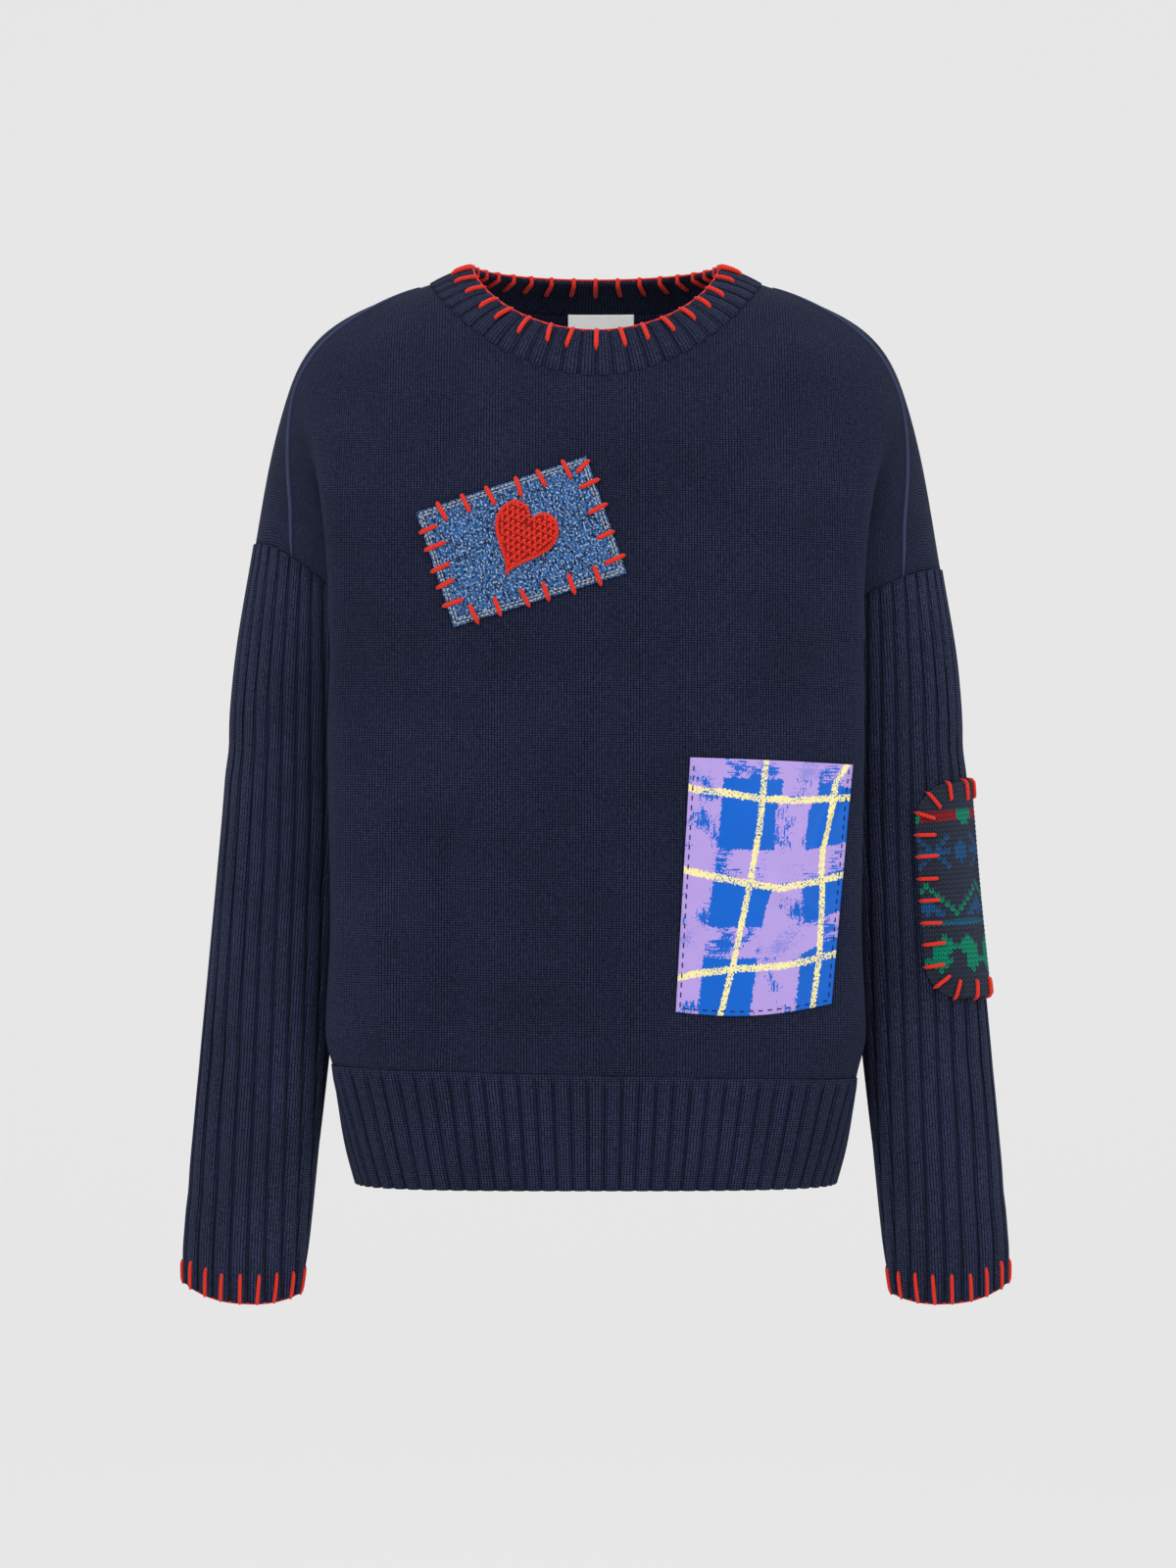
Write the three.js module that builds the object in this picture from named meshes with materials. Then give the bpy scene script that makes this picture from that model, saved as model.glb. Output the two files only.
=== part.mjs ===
// A patched wool sweater: a loose crew-neck jumper, filled out as when it is worn, open at the neck, hem and cuffs.
// Millimetres, +Z up. The front faces -Y and +X is the viewer's right. The origin is the middle of the neck, level
// with the high shoulder points. Every piece of cloth is a thin wall on a surface worked out from the sizes below.
import * as THREE from 'three';

// Cloth
const WALL = 2.6; // plain knitting
const RIB_WALL = 2.2; // ribbed knitting, under its ribs
const RIB_RAISE = 1.5;
const SEAM_GAP = 0.4;
const LAY_GAP = 0.3; // between a patch and the cloth that it lies on

// Neck: the seam round the band, and the band's top edge
const NECK = { half: 118, side: -16, frontDeep: 94, frontDrop: 72, backDeep: 88, backDrop: 14, curve: 1.7 };
const EDGE = { half: 88, side: -3, frontDeep: 77, frontDrop: 53, backDeep: 62, backDrop: 4, curve: 1.25 };
const NECK_RIBS = 60;
const BAND_BULGE = 1.4;

// Shoulder line seen from the front, from the neck seam out and down the arm: [x, z]
const SHOULDER = [[118, -16], [150, -27], [178, -40], [197, -54], [211, -73], [222, -102], [233, -145], [246, -220]];
const ARMHOLE = { depth: 50, pit: [150, -250], end: { left: 0.93, right: 1 } };
const SEAM_FORWARD = 0.37; // how far the shoulder seam lies in front of the shoulder line, at the armhole
const CHEST_Z = -250;

// Body sections: height, half width, depth to the front, depth to the back, hollow of the side under the arm
const BODY = [
  [-250, 206, 118, 110, 56],
  [-278, 206, 118, 111, 58],
  [-350, 207, 117, 112, 47],
  [-450, 207, 115, 112, 34],
  [-547, 206, 113, 110, 20],
  [-576, 198, 107, 105, 14],
  [-600, 190, 104, 102, 8],
  [-630, 180, 101, 100, 3],
  [-656, 170, 98, 97, 0],
];
const SQUARENESS = 3.2; // of the body's section
const HOLLOW = { from: 26, to: 80 }; // the side hollow ends at the folds that stand in front of and behind the arms
const HEM = { top: -575, slope: 6, bottom: -655, ribs: 43 };

// Sleeves: height, middle across, middle in depth, half width, half depth, how far the inner side hangs lower
const SLEEVE = [
  [-227, 197, 0, 46, 50, 22],
  [-300, 209, -2, 47.5, 42, 12],
  [-400, 219, -6, 46, 38, 4],
  [-500, 229, -11, 45, 35, 2],
  [-610, 240, -16, 44, 31, 2],
  [-700, 248.5, -20, 43, 28, 3],
  [-738, 251, -21, 41, 26, 4],
];
const SLEEVE_ROUNDNESS = 2.3;
const SLEEVE_PITCH = { top: 9.8, cuff: 12.4 };
const SLEEVE_ROWS = [0, 0.05, 0.12, 0.2, 0.285, 0.38, 0.48, 0.6, 0.75, 0.9, 1];
const CUFF_RISE = 9; // the cuff's edge is higher at its two sides

// Columns of the body's half: a share of the neck seam, then of the shoulder line
const NECK_SHARE = 0.42;
const NECK_COLUMNS = [0, 0.14, 0.28, 0.42, 0.56, 0.7, 0.84, 1];
const SHOULDER_COLUMNS = [0.1, 0.2, 0.3, 0.38, 0.45, 0.51, 0.58, 0.68, 0.8, 0.9, 1];
const CHEST_NECK_SHARE = 0.38;
const NECK_SPREAD = 1.6; // how fast the columns under the neck spread out near its corner
const CORNER_LEAD = 72; // how far the cloth reaches forwards from the neck's corner before it drops
// How far across the yoke is averaged, as a share of its half, and the weights of the five places.
const YOKE_SOFTNESS = 0.07;
const SOFTENING = [1 / 16, 1 / 4, 3 / 8, 1 / 4, 1 / 16];
const SHOULDER_TRIM = 0.0008; // half the gap of the shoulder seam, as a share of a column above the chest
const YOKE_ROWS = [0, 0.1, 0.21, 0.33, 0.46, 0.6, 0.74, 0.87, 1];
const BODY_ROWS = [1.15, 1.35, 1.55, 1.75, 1.88, 1.95, 2];

// Vertical folds that stand out beside the arms, as shares of the chest's half: where, how wide, how high
const ARM_FOLDS = [{ at: 0.66, wide: 0.05, high: 4 }, { at: 0.76, wide: 0.05, high: -6 }];

// Patches: corners on the front seen from the front, [x, z], from the top left round with the clock
const DENIM = { corners: [[-124, -185], [-7, -146], [21, -227], [-98, -264]], thick: 1.2 };
const PLAID = { corners: [[65, -354], [178, -359], [163, -525], [55, -530]], thick: 0.6 };
const HEART = { middle: [-52, -205], wide: 44, tall: 50, tilt: 0.42, thick: 2.6 };
const ELBOW = { front: 62, back: 58, top: -375, bottom: -525, corner: 26, thick: 2 };
const LABEL = { middle: 4, wide: 49, top: -34, bottom: -58, thick: 0.6 };

const vec = (x, y, z) => new THREE.Vector3(x, y, z);
const mix = (a, b, t) => a + (b - a) * t;
const ease = (t) => t * t * (3 - 2 * t);
const clamp = (t, low, high) => Math.min(Math.max(t, low), high);
const signedPower = (value, power) => Math.sign(value) * Math.abs(value) ** power;
const bump = (value, at, wide) => Math.exp(-(((value - at) / wide) ** 2));

// A smooth curve through rows of numbers: the first number of each row is the key, the rest are the values.
function smoothRow(rows, key) {
  const rising = rows[rows.length - 1][0] > rows[0][0];
  let i = 0;
  while (i < rows.length - 2 && (rising ? key > rows[i + 1][0] : key < rows[i + 1][0])) i += 1;
  const [a, b] = [rows[i], rows[i + 1]];
  const before = rows[Math.max(i - 1, 0)];
  const after = rows[Math.min(i + 2, rows.length - 1)];
  const span = b[0] - a[0];
  const t = clamp((key - a[0]) / span, 0, 1);
  return a.slice(1).map((start, n) => {
    const end = b[n + 1];
    const slopeA = ((end - before[n + 1]) / (b[0] - before[0])) * span;
    const slopeB = ((after[n + 1] - start) / (after[0] - a[0])) * span;
    const t2 = t * t;
    const t3 = t2 * t;
    return (2 * t3 - 3 * t2 + 1) * start + (t3 - 2 * t2 + t) * slopeA
      + (3 * t2 - 2 * t3) * end + (t3 - t2) * slopeB;
  });
}

// The same rows keyed by the length along them, from 0 to 1.
function keyedByLength(points) {
  const lengths = [0];
  for (let i = 1; i < points.length; i += 1) {
    lengths.push(lengths[i - 1] + Math.hypot(points[i][0] - points[i - 1][0], points[i][1] - points[i - 1][1]));
  }
  const total = lengths[lengths.length - 1];
  return points.map((point, i) => [lengths[i] / total, ...point]);
}
const SHOULDER_ROWS = keyedByLength(SHOULDER);

// Neck seam and band edge: angle 0 at the high shoulder point, a right angle at the middle of the front or back.
function neckPoint(loop, side, face, angle) {
  const deep = face < 0 ? loop.frontDeep : loop.backDeep;
  const drop = face < 0 ? loop.frontDrop : loop.backDrop;
  const up = Math.sin(angle);
  return vec(side * loop.half * Math.cos(angle), face * deep * up, loop.side - drop * up ** loop.curve);
}

// Body section at a height: a squared ellipse whose sides are hollowed under the arms. The share runs along its
// length, from 0 at the middle of the front or back to 1 at the side.
const SECTION_STEPS = 64;
const sections = new Map();
function bodySection(face, height) {
  const key = `${face} ${height.toFixed(4)}`;
  if (!sections.has(key)) {
    const [half, front, back, hollow] = smoothRow(BODY, height);
    const deep = face < 0 ? front : back;
    const points = [];
    for (let i = 0; i <= SECTION_STEPS; i += 1) {
      const angle = (Math.PI / 2) * (1 - ease(i / SECTION_STEPS));
      const y = deep * signedPower(Math.sin(angle), 2 / SQUARENESS);
      const reach = 1 - ease(clamp((y - HOLLOW.from) / (HOLLOW.to - HOLLOW.from), 0, 1));
      const x = half * signedPower(Math.cos(angle), 2 / SQUARENESS) - hollow * reach;
      points.push([Math.max(x, 0), y]);
    }
    sections.set(key, keyedByLength(points));
  }
  return sections.get(key);
}

function sectionPoint(side, face, share, height) {
  const [x, y] = smoothRow(bodySection(face, height), share);
  return vec(side * x, face * y, height);
}

// Where a column of the body's half starts, and its share of the chest.
function column(u) {
  if (u < NECK_SHARE) {
    const c = u / NECK_SHARE;
    const angle = (Math.PI / 2) * (1 - c);
    return { angle, chest: CHEST_NECK_SHARE * c ** NECK_SPREAD, t: 0 };
  }
  const t = (u - NECK_SHARE) / (1 - NECK_SHARE);
  return { angle: 0, chest: mix(CHEST_NECK_SHARE, 1, t), t };
}

// The body above the chest: each column is a curve from the neck seam or the shoulder line to the chest.
function yokePoint(side, face, u, v) {
  const { angle, chest, t } = column(u);
  const low = sectionPoint(side, face, chest, CHEST_Z);
  let top;
  let lead;
  if (t === 0) {
    const down = Math.sin(angle) ** 0.8;
    top = neckPoint(NECK, side, face, angle);
    lead = vec(0, face * mix(1, 0.27, down), -0.96 * down).setLength(mix(CORNER_LEAD, 50, ease(down)));
  } else {
    const [x, z] = smoothRow(SHOULDER_ROWS, t * (side < 0 ? ARMHOLE.end.left : ARMHOLE.end.right));
    top = vec(side * x, 0, z);
    lead = vec(0, face * mix(CORNER_LEAD, (4 / 3) * ARMHOLE.depth, t), 0);
  }
  const turn = ease(clamp((chest - 0.68) / 0.32, 0, 1));
  const rise = mix(u < NECK_SHARE ? mix(60, 100, u / NECK_SHARE) : 100, 0, turn);
  const forward = turn * (4 / 3) * ARMHOLE.depth;
  const curve = new THREE.CubicBezierCurve3(top, top.clone().add(lead), low.clone().add(vec(0, face * forward, rise)), low);
  const point = curve.getPoint(v);
  // The armhole seam runs level over the arm before it drops to the underarm.
  const across = ease(v);
  point.z += (ease(across) - across) * (ARMHOLE.pit[1] - top.z) * clamp((t - 0.7) / 0.3, 0, 1) ** 2;
  return point;
}

// One point of the body, v: 0 at the top, 1 at the chest, 2 at the hem seam. A negative v is over the shoulder.
// Below the neck's corner the yoke is averaged across its columns, so that no fold runs down from the corner.
function softYokePoint(side, face, u, v) {
  const reach = YOKE_SOFTNESS * bump(u, NECK_SHARE, 0.2) * ease(clamp(v / 0.3, 0, 1)) * ease(clamp((1 - v) / 0.35, 0, 1));
  const point = vec(0, 0, 0);
  SOFTENING.forEach((weight, i) => {
    const at = clamp(u + (i - 2) * reach, 0, 1);
    point.addScaledVector(yokePoint(side, face, at, v), weight);
  });
  return point;
}

function bodyPoint(side, face, u, v) {
  if (v < 0) return bodyPoint(side, -face, u, -v);
  const { chest } = column(u);
  const height = v <= 1 ? CHEST_Z : mix(CHEST_Z, HEM.top - HEM.slope * side * chest, v - 1);
  const point = v <= 1 ? softYokePoint(side, face, u, v) : sectionPoint(side, face, chest, height);
  const fade = ease(clamp((v - 0.35) / 0.4, 0, 1)) * ease(clamp((2 - v) / 0.35, 0, 1));
  if (fade > 0 && u > NECK_SHARE) {
    const out = vec(side * 0.8, face * 0.6, 0);
    for (const fold of ARM_FOLDS) point.addScaledVector(out, fold.high * fade * bump(chest, fold.at, fold.wide));
  }
  return point;
}

// Outward direction of a surface from two of its points each way.
const STEP = 0.004;
function outward(surface, u, v, uRange, vRange, sign) {
  const u0 = clamp(u - STEP, ...uRange);
  const u1 = clamp(u + STEP, ...uRange);
  const v0 = clamp(v - STEP, ...vRange);
  const v1 = clamp(v + STEP, ...vRange);
  const alongU = surface(u1, v).sub(surface(u0, v));
  const alongV = surface(u, v1).sub(surface(u, v0));
  return alongU.cross(alongV).multiplyScalar(sign).normalize();
}

function bodyOut(side, face, u, v) {
  if (v < 0) return bodyOut(side, -face, u, -v);
  const out = outward((a, b) => bodyPoint(side, face, a, b), u, Math.max(v, 0.03), [0, 1], [0.01, 2], side * face);
  if (u < STEP) out.setX(0).normalize();
  return out;
}

// Shared directions on the seams, so that two pieces that meet there keep their gap through the thickness.
function neckSeam(side, face, angle) {
  const seam = (a) => neckPoint(NECK, side, face, a);
  const point = seam(angle);
  const along = seam(Math.min(angle + 0.01, Math.PI / 2)).sub(seam(Math.max(angle - 0.01, 0)));
  const toEdge = neckPoint(EDGE, side, face, angle).sub(point).normalize();
  const toBody = vec(side * 0.94 * Math.cos(angle), face * 0.27 * Math.sin(angle), -0.33 - 0.63 * Math.sin(angle));
  const across = toEdge.sub(toBody.normalize());
  const out = along.cross(across).normalize();
  if (out.dot(vec(side * Math.cos(angle), face * Math.sin(angle), 1)) < 0) out.negate();
  return { point, out, across: across.normalize() };
}

function armholeSeam(side, face, v) {
  const seam = (t) => bodyPoint(side, face, 1, t);
  const point = seam(v);
  const along = seam(Math.min(v + 0.01, 1)).sub(seam(Math.max(v - 0.01, 0))).normalize();
  const turn = Math.PI * v;
  const out = vec(side * Math.max(Math.cos(turn), 0), face * Math.sin(turn), -Math.max(-Math.cos(turn), 0));
  out.addScaledVector(along, -out.dot(along)).normalize();
  const across = along.cross(out).normalize();
  if (across.z > 0) across.negate();
  return { point, out, across };
}

// A seam as the panel's straight edges follow it: between two of the panel's stops its values run evenly.
function alongStops(seam, stops, at) {
  let i = 0;
  while (i < stops.length - 2 && at > stops[i + 1]) i += 1;
  const t = clamp((at - stops[i]) / (stops[i + 1] - stops[i]), 0, 1);
  const [a, b] = [seam(stops[i]), seam(stops[i + 1])];
  return { point: a.point.lerp(b.point, t), out: a.out.lerp(b.out, t), across: a.across.lerp(b.across, t) };
}

// A closed wall between two grids of points. Each grid is a list of rows; the inner one may have fewer columns.
function wall(outer, inner, closed) {
  const positions = [];
  const indices = [];
  const known = new Map();
  const index = (p) => {
    const key = [p.x, p.y, p.z].map((value) => Math.round(value * 500)).join();
    if (!known.has(key)) {
      known.set(key, positions.length / 3);
      positions.push(p.x, p.y, p.z);
    }
    return known.get(key);
  };
  const triangle = (a, b, c) => {
    const [i, j, k] = [index(a), index(b), index(c)];
    if (i !== j && j !== k && k !== i) indices.push(i, j, k);
  };
  const skin = (grid, flip) => {
    for (let i = 0; i + 1 < grid.length; i += 1) {
      for (let j = 0; j + 1 < grid[i].length; j += 1) {
        const [a, b, c, d] = [grid[i][j], grid[i + 1][j], grid[i + 1][j + 1], grid[i][j + 1]];
        if (flip) {
          triangle(a, c, b);
          triangle(a, d, c);
        } else {
          triangle(a, b, c);
          triangle(a, c, d);
        }
      }
    }
  };
  const rim = (a, b) => {
    let [i, j] = [0, 0];
    while (i + 1 < a.length || j + 1 < b.length) {
      const canA = i + 1 < a.length;
      const canB = j + 1 < b.length;
      if (canA && (!canB || a[i + 1].distanceTo(b[j]) <= a[i].distanceTo(b[j + 1]))) {
        triangle(a[i], a[i + 1], b[j]);
        i += 1;
      } else {
        triangle(a[i], b[j + 1], b[j]);
        j += 1;
      }
    }
  };
  const last = (list) => list[list.length - 1];
  skin(outer, false);
  skin(inner, true);
  rim(outer[0], inner[0]);
  rim([...last(outer)].reverse(), [...last(inner)].reverse());
  if (!closed) {
    rim(outer.map((row) => row[0]).reverse(), inner.map((row) => row[0]).reverse());
    rim(outer.map(last), inner.map(last));
  }
  const corner = (i) => vec(positions[3 * i], positions[3 * i + 1], positions[3 * i + 2]);
  let volume = 0;
  for (let i = 0; i < indices.length; i += 3) {
    volume += corner(indices[i]).dot(corner(indices[i + 1]).cross(corner(indices[i + 2])));
  }
  if (volume < 0) indices.reverse();
  const geometry = new THREE.BufferGeometry();
  geometry.setAttribute('position', new THREE.Float32BufferAttribute(positions, 3));
  geometry.setIndex(indices);
  geometry.computeVertexNormals();
  return geometry;
}

// Front and back panels
const COLUMNS = [
  ...NECK_COLUMNS.map((c) => c * NECK_SHARE),
  ...SHOULDER_COLUMNS.map((t) => NECK_SHARE + t * (1 - NECK_SHARE)),
];

function seamStart(side, u) {
  return SEAM_FORWARD * column(u).t ** 0.75;
}

function panelSpot(side, face, u, v, start) {
  const spot = { point: bodyPoint(side, face, u, v), out: bodyOut(side, face, u, v) };
  const { angle } = column(u);
  if (v === start && u <= NECK_SHARE) {
    const seam = neckSeam(side, face, angle);
    spot.point = seam.point.addScaledVector(seam.across, -SEAM_GAP / 2);
    spot.out = seam.out;
    if (u === NECK_SHARE) spot.point.y += (face * SEAM_GAP) / 2;
  } else if (v === start) {
    spot.point = bodyPoint(side, face, u, v + SHOULDER_TRIM);
  }
  if (u === 1 && v <= 1) {
    const seam = armholeSeam(side, v < 0 ? -face : face, Math.abs(v));
    spot.point = v === start ? spot.point : seam.point;
    spot.point.addScaledVector(seam.across, -SEAM_GAP / 2);
    spot.out = seam.out;
  }
  if (u === 1 && v >= 1) spot.point.y += (face * SEAM_GAP) / 2;
  if (v === 2) {
    spot.point.z += SEAM_GAP / 2;
    spot.out.setZ(0).normalize();
  }
  return spot;
}

function panel(face) {
  const outer = [];
  const inner = [];
  for (const row of [...YOKE_ROWS, ...BODY_ROWS]) {
    const line = [];
    for (const side of [-1, 1]) {
      const half = COLUMNS.map((u) => {
        const start = u > NECK_SHARE ? seamStart(side, u) : 0;
        const from = face < 0 ? start : -start;
        const v = row > 1 ? row : mix(from, 1, row);
        return panelSpot(side, face, u, v, from);
      });
      line.push(...(side < 0 ? half.reverse() : half.slice(1)));
    }
    outer.push(line.map((spot) => spot.point));
    inner.push(line.map((spot) => spot.point.clone().addScaledVector(spot.out, -WALL)));
  }
  return wall(outer, inner, false);
}

// Sleeves: angle 0 is the outer side, a right angle the front or back, and a half turn the underarm
function sleevePoint(side, face, angle, w) {
  const height = mix(SLEEVE[0][0], SLEEVE[SLEEVE.length - 1][0], w);
  const tube = (z) => {
    const [across, depth, half, deep, slant] = smoothRow(SLEEVE, z);
    const x = across + half * signedPower(Math.cos(angle), 2 / SLEEVE_ROUNDNESS);
    const y = depth + face * deep * signedPower(Math.sin(angle), 2 / SLEEVE_ROUNDNESS);
    return vec(side * x, y, z + slant * Math.cos(angle));
  };
  const point = tube(height);
  const fade = 1 - ease(clamp(w / 0.22, 0, 1));
  if (fade > 0) {
    const shift = bodyPoint(side, face, 1, angle / Math.PI).sub(tube(SLEEVE[0][0]));
    point.addScaledVector(shift, fade);
  }
  point.z += CUFF_RISE * Math.cos(angle) ** 2 * ease(clamp((w - 0.9) / 0.1, 0, 1));
  return point;
}

function sleeveOut(side, face, angle, w) {
  const surface = (a, b) => sleevePoint(side, face, a, b);
  return outward(surface, clamp(angle, 0.02, Math.PI - 0.02), w, [0, Math.PI], [0, 1], -side * face);
}

// Angles on a sleeve's half at chosen lengths round it from the outer side.
const ROUND_STEPS = 72;
function anglesAt(side, face, w, lengths) {
  const table = [[0, 0]];
  for (let i = 1; i <= ROUND_STEPS; i += 1) {
    const angle = (Math.PI * i) / ROUND_STEPS;
    const step = sleevePoint(side, face, angle, w).distanceTo(sleevePoint(side, face, table[i - 1][1], w));
    table.push([table[i - 1][0] + step, angle]);
  }
  const total = table[ROUND_STEPS][0];
  return lengths.map((length) => (length > total - 1.6 ? Math.PI : smoothRow(table, length)[0]));
}

// The armhole seam along the straight edges of the two panels.
function armholeEdge(side, face, v) {
  const start = seamStart(side, 1);
  const onFront = face < 0 && v >= start;
  const stops = YOKE_ROWS.map((row) => mix(onFront ? start : -start, 1, row));
  const seam = (t) => armholeSeam(side, onFront || t < 0 ? -1 : 1, Math.abs(t));
  return alongStops(seam, stops, onFront || face > 0 ? v : -v);
}

const RIB_PROFILE = [[0, 0], [0.2, 1], [0.8, 1]]; // place in the rib, and height: a groove between flat crests

function sleeveRing(side, w, profile, offset) {
  const pitch = mix(SLEEVE_PITCH.top, SLEEVE_PITCH.cuff, w);
  const steps = [];
  for (let rib = 0; rib < 16; rib += 1) for (const [place, high] of profile) steps.push([rib + place, high]);
  const ring = (face) => {
    const angles = anglesAt(side, face, w, steps.map(([place]) => place * pitch));
    return [...angles, Math.PI].map((angle, i) => {
      const spot = { point: sleevePoint(side, -1, angle, w), out: sleeveOut(side, face, angle, w) };
      if (angle > 0 && angle < Math.PI) spot.point = sleevePoint(side, face, angle, w);
      else spot.out = sleeveOut(side, -1, angle, w).add(sleeveOut(side, 1, angle, w)).normalize();
      if (w === 0) {
        const seam = armholeEdge(side, angle < Math.PI ? face : -1, angle / Math.PI);
        spot.point = seam.point;
        spot.point.addScaledVector(seam.across, SEAM_GAP / 2);
        spot.out = seam.out;
      }
      const high = angle < Math.PI ? steps[i][1] : 0;
      return spot.point.addScaledVector(spot.out, offset + (offset < 0 ? 0 : RIB_RAISE * high));
    });
  };
  const front = ring(-1);
  return [...front, ...ring(1).reverse().slice(1)];
}

function sleeve(side) {
  const outer = SLEEVE_ROWS.map((w) => sleeveRing(side, w, RIB_PROFILE, 0));
  const inner = SLEEVE_ROWS.map((w) => sleeveRing(side, w, [[0, 0]], -RIB_WALL));
  return wall(outer, inner, true);
}

// Neckband: a ribbed ring from the neck seam to its edge
function bandPoint(side, face, angle, h) {
  const low = neckPoint(NECK, side, face, angle);
  const point = low.clone().lerp(neckPoint(EDGE, side, face, angle), h);
  const out = vec(side * Math.cos(angle), face * Math.sin(angle), 1).normalize();
  return point.addScaledVector(out, BAND_BULGE * 4 * h * (1 - h));
}

function bandSpot(turn, h) {
  const side = Math.cos(turn) < 0 ? -1 : 1;
  const face = Math.sin(turn) > 0 ? 1 : -1;
  const angle = Math.asin(Math.min(Math.abs(Math.sin(turn)), 1));
  if (h === 0) {
    const stops = NECK_COLUMNS.map((c) => (Math.PI / 2) * (1 - c)).reverse();
    const seam = alongStops((a) => neckSeam(side, face, a), stops, angle);
    return { point: seam.point.addScaledVector(seam.across, SEAM_GAP / 2), out: seam.out };
  }
  const surface = (a, b) => bandPoint(side, face, a, b);
  const out = outward(surface, clamp(angle, 0.02, 1.55), h, [0, Math.PI / 2], [0, 1], side * face);
  return { point: surface(angle, h), out };
}

function neckband() {
  const ring = (h, profile, offset) => {
    const points = [];
    for (let rib = 0; rib < NECK_RIBS; rib += 1) {
      for (const [place, high] of profile) {
        const { point, out } = bandSpot(((rib + place) / NECK_RIBS) * 2 * Math.PI, h);
        points.push(point.addScaledVector(out, offset + (offset < 0 ? 0 : RIB_RAISE * high)));
      }
    }
    return [...points, points[0].clone()];
  };
  const rows = [0, 0.5, 1];
  return wall(rows.map((h) => ring(h, RIB_PROFILE, 0)), rows.map((h) => ring(h, [[0, 0]], -RIB_WALL)), true);
}

// Hem band: ribs on the body's sections, in a front and a back piece
function hemSpot(face, across, h) {
  const side = across < 0 ? -1 : 1;
  const share = Math.abs(across);
  const height = mix(HEM.top - HEM.slope * across - SEAM_GAP / 2, HEM.bottom, h);
  const point = sectionPoint(side, face, share, height);
  const near = sectionPoint(side, face, Math.max(share - 0.01, 0), height);
  const far = sectionPoint(side, face, Math.min(share + 0.01, 1), height);
  const along = far.sub(near);
  const out = vec(side * face * along.y, -side * face * along.x, 0).normalize();
  if (share === 1) point.y += (face * SEAM_GAP) / 2;
  return { point, out: out.multiplyScalar(out.dot(vec(side * 0.5, face, 0)) < 0 ? -1 : 1) };
}

function hem(face) {
  const row = (h, profile, offset) => {
    const points = [];
    for (let rib = 0; rib <= HEM.ribs; rib += 1) {
      for (const [place, high] of rib < HEM.ribs ? profile : [[0, 0]]) {
        const { point, out } = hemSpot(face, ((rib + place) / HEM.ribs) * 2 - 1, h);
        points.push(point.addScaledVector(out, offset + (offset < 0 ? 0 : RIB_RAISE * high)));
      }
    }
    return points;
  };
  const rows = [0, 0.5, 1];
  return wall(rows.map((h) => row(h, RIB_PROFILE, 0)), rows.map((h) => row(h, [[0, 0]], -RIB_WALL)), false);
}

// A point of the front or back panel from where it is seen from the front.
function panelAt(face, x, z) {
  const side = x < 0 ? -1 : 1;
  let [u, v] = [0.3, 1];
  for (let turn = 0; turn < 40; turn += 1) {
    const here = bodyPoint(side, face, u, v);
    const byU = bodyPoint(side, face, u + STEP, v).sub(here).divideScalar(STEP);
    const byV = bodyPoint(side, face, u, v + STEP).sub(here).divideScalar(STEP);
    const [dx, dz] = [x - here.x, z - here.z];
    const det = byU.x * byV.z - byV.x * byU.z;
    u = clamp(u + clamp((dx * byV.z - byV.x * dz) / det, -0.1, 0.1), 0.001, 0.9);
    v = clamp(v + clamp((byU.x * dz - dx * byU.z) / det, -0.2, 0.2), 0.05, 1.95);
  }
  return { point: bodyPoint(side, face, u, v), out: bodyOut(side, face, u, v) };
}

// The panel's flat facets lie up to 0.9 mm off its true surface.
const PATCH_LIFT = LAY_GAP + 0.4;

// A patch over a grid of places, from a function that gives the cloth's point and its outward direction.
function patch(columns, rows, spotAt, lift, thick) {
  const grid = (away) => Array.from({ length: rows + 1 }, (_, i) => Array.from({ length: columns + 1 }, (__, j) => {
    const { point, out } = spotAt(j / columns, i / rows);
    return point.clone().addScaledVector(out, away);
  }));
  return wall(grid(lift + thick), grid(lift), false);
}

function cornerPatch({ corners, thick }, columns, rows) {
  const [topLeft, topRight, lowRight, lowLeft] = corners;
  const spot = (a, b) => {
    const x = mix(mix(topLeft[0], topRight[0], a), mix(lowLeft[0], lowRight[0], a), b);
    const z = mix(mix(topLeft[1], topRight[1], a), mix(lowLeft[1], lowRight[1], a), b);
    return panelAt(-1, x, z);
  };
  return patch(columns, rows, spot, PATCH_LIFT, thick);
}

// A heart from rings round its middle: the outline is the common heart curve.
function heart() {
  const lift = PATCH_LIFT + DENIM.thick + LAY_GAP + 0.3;
  const rings = [0, 0.55, 1];
  const around = 28;
  const grid = (away) => rings.map((ring) => Array.from({ length: around + 1 }, (_, i) => {
    const t = (2 * Math.PI * i) / around;
    const across = (HEART.wide / 2) * Math.sin(t) ** 3;
    const up = (13 * Math.cos(t) - 5 * Math.cos(2 * t) - 2 * Math.cos(3 * t) - Math.cos(4 * t) + 2.5) / 14.5;
    const high = (HEART.tall / 2) * up;
    const [c, s] = [Math.cos(HEART.tilt), Math.sin(HEART.tilt)];
    const x = HEART.middle[0] + ring * (across * c + high * s);
    const z = HEART.middle[1] + ring * (high * c - across * s);
    const { point, out } = panelAt(-1, x, z);
    return point.addScaledVector(out, away);
  }));
  return wall(grid(lift + HEART.thick), grid(lift), true);
}

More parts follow.
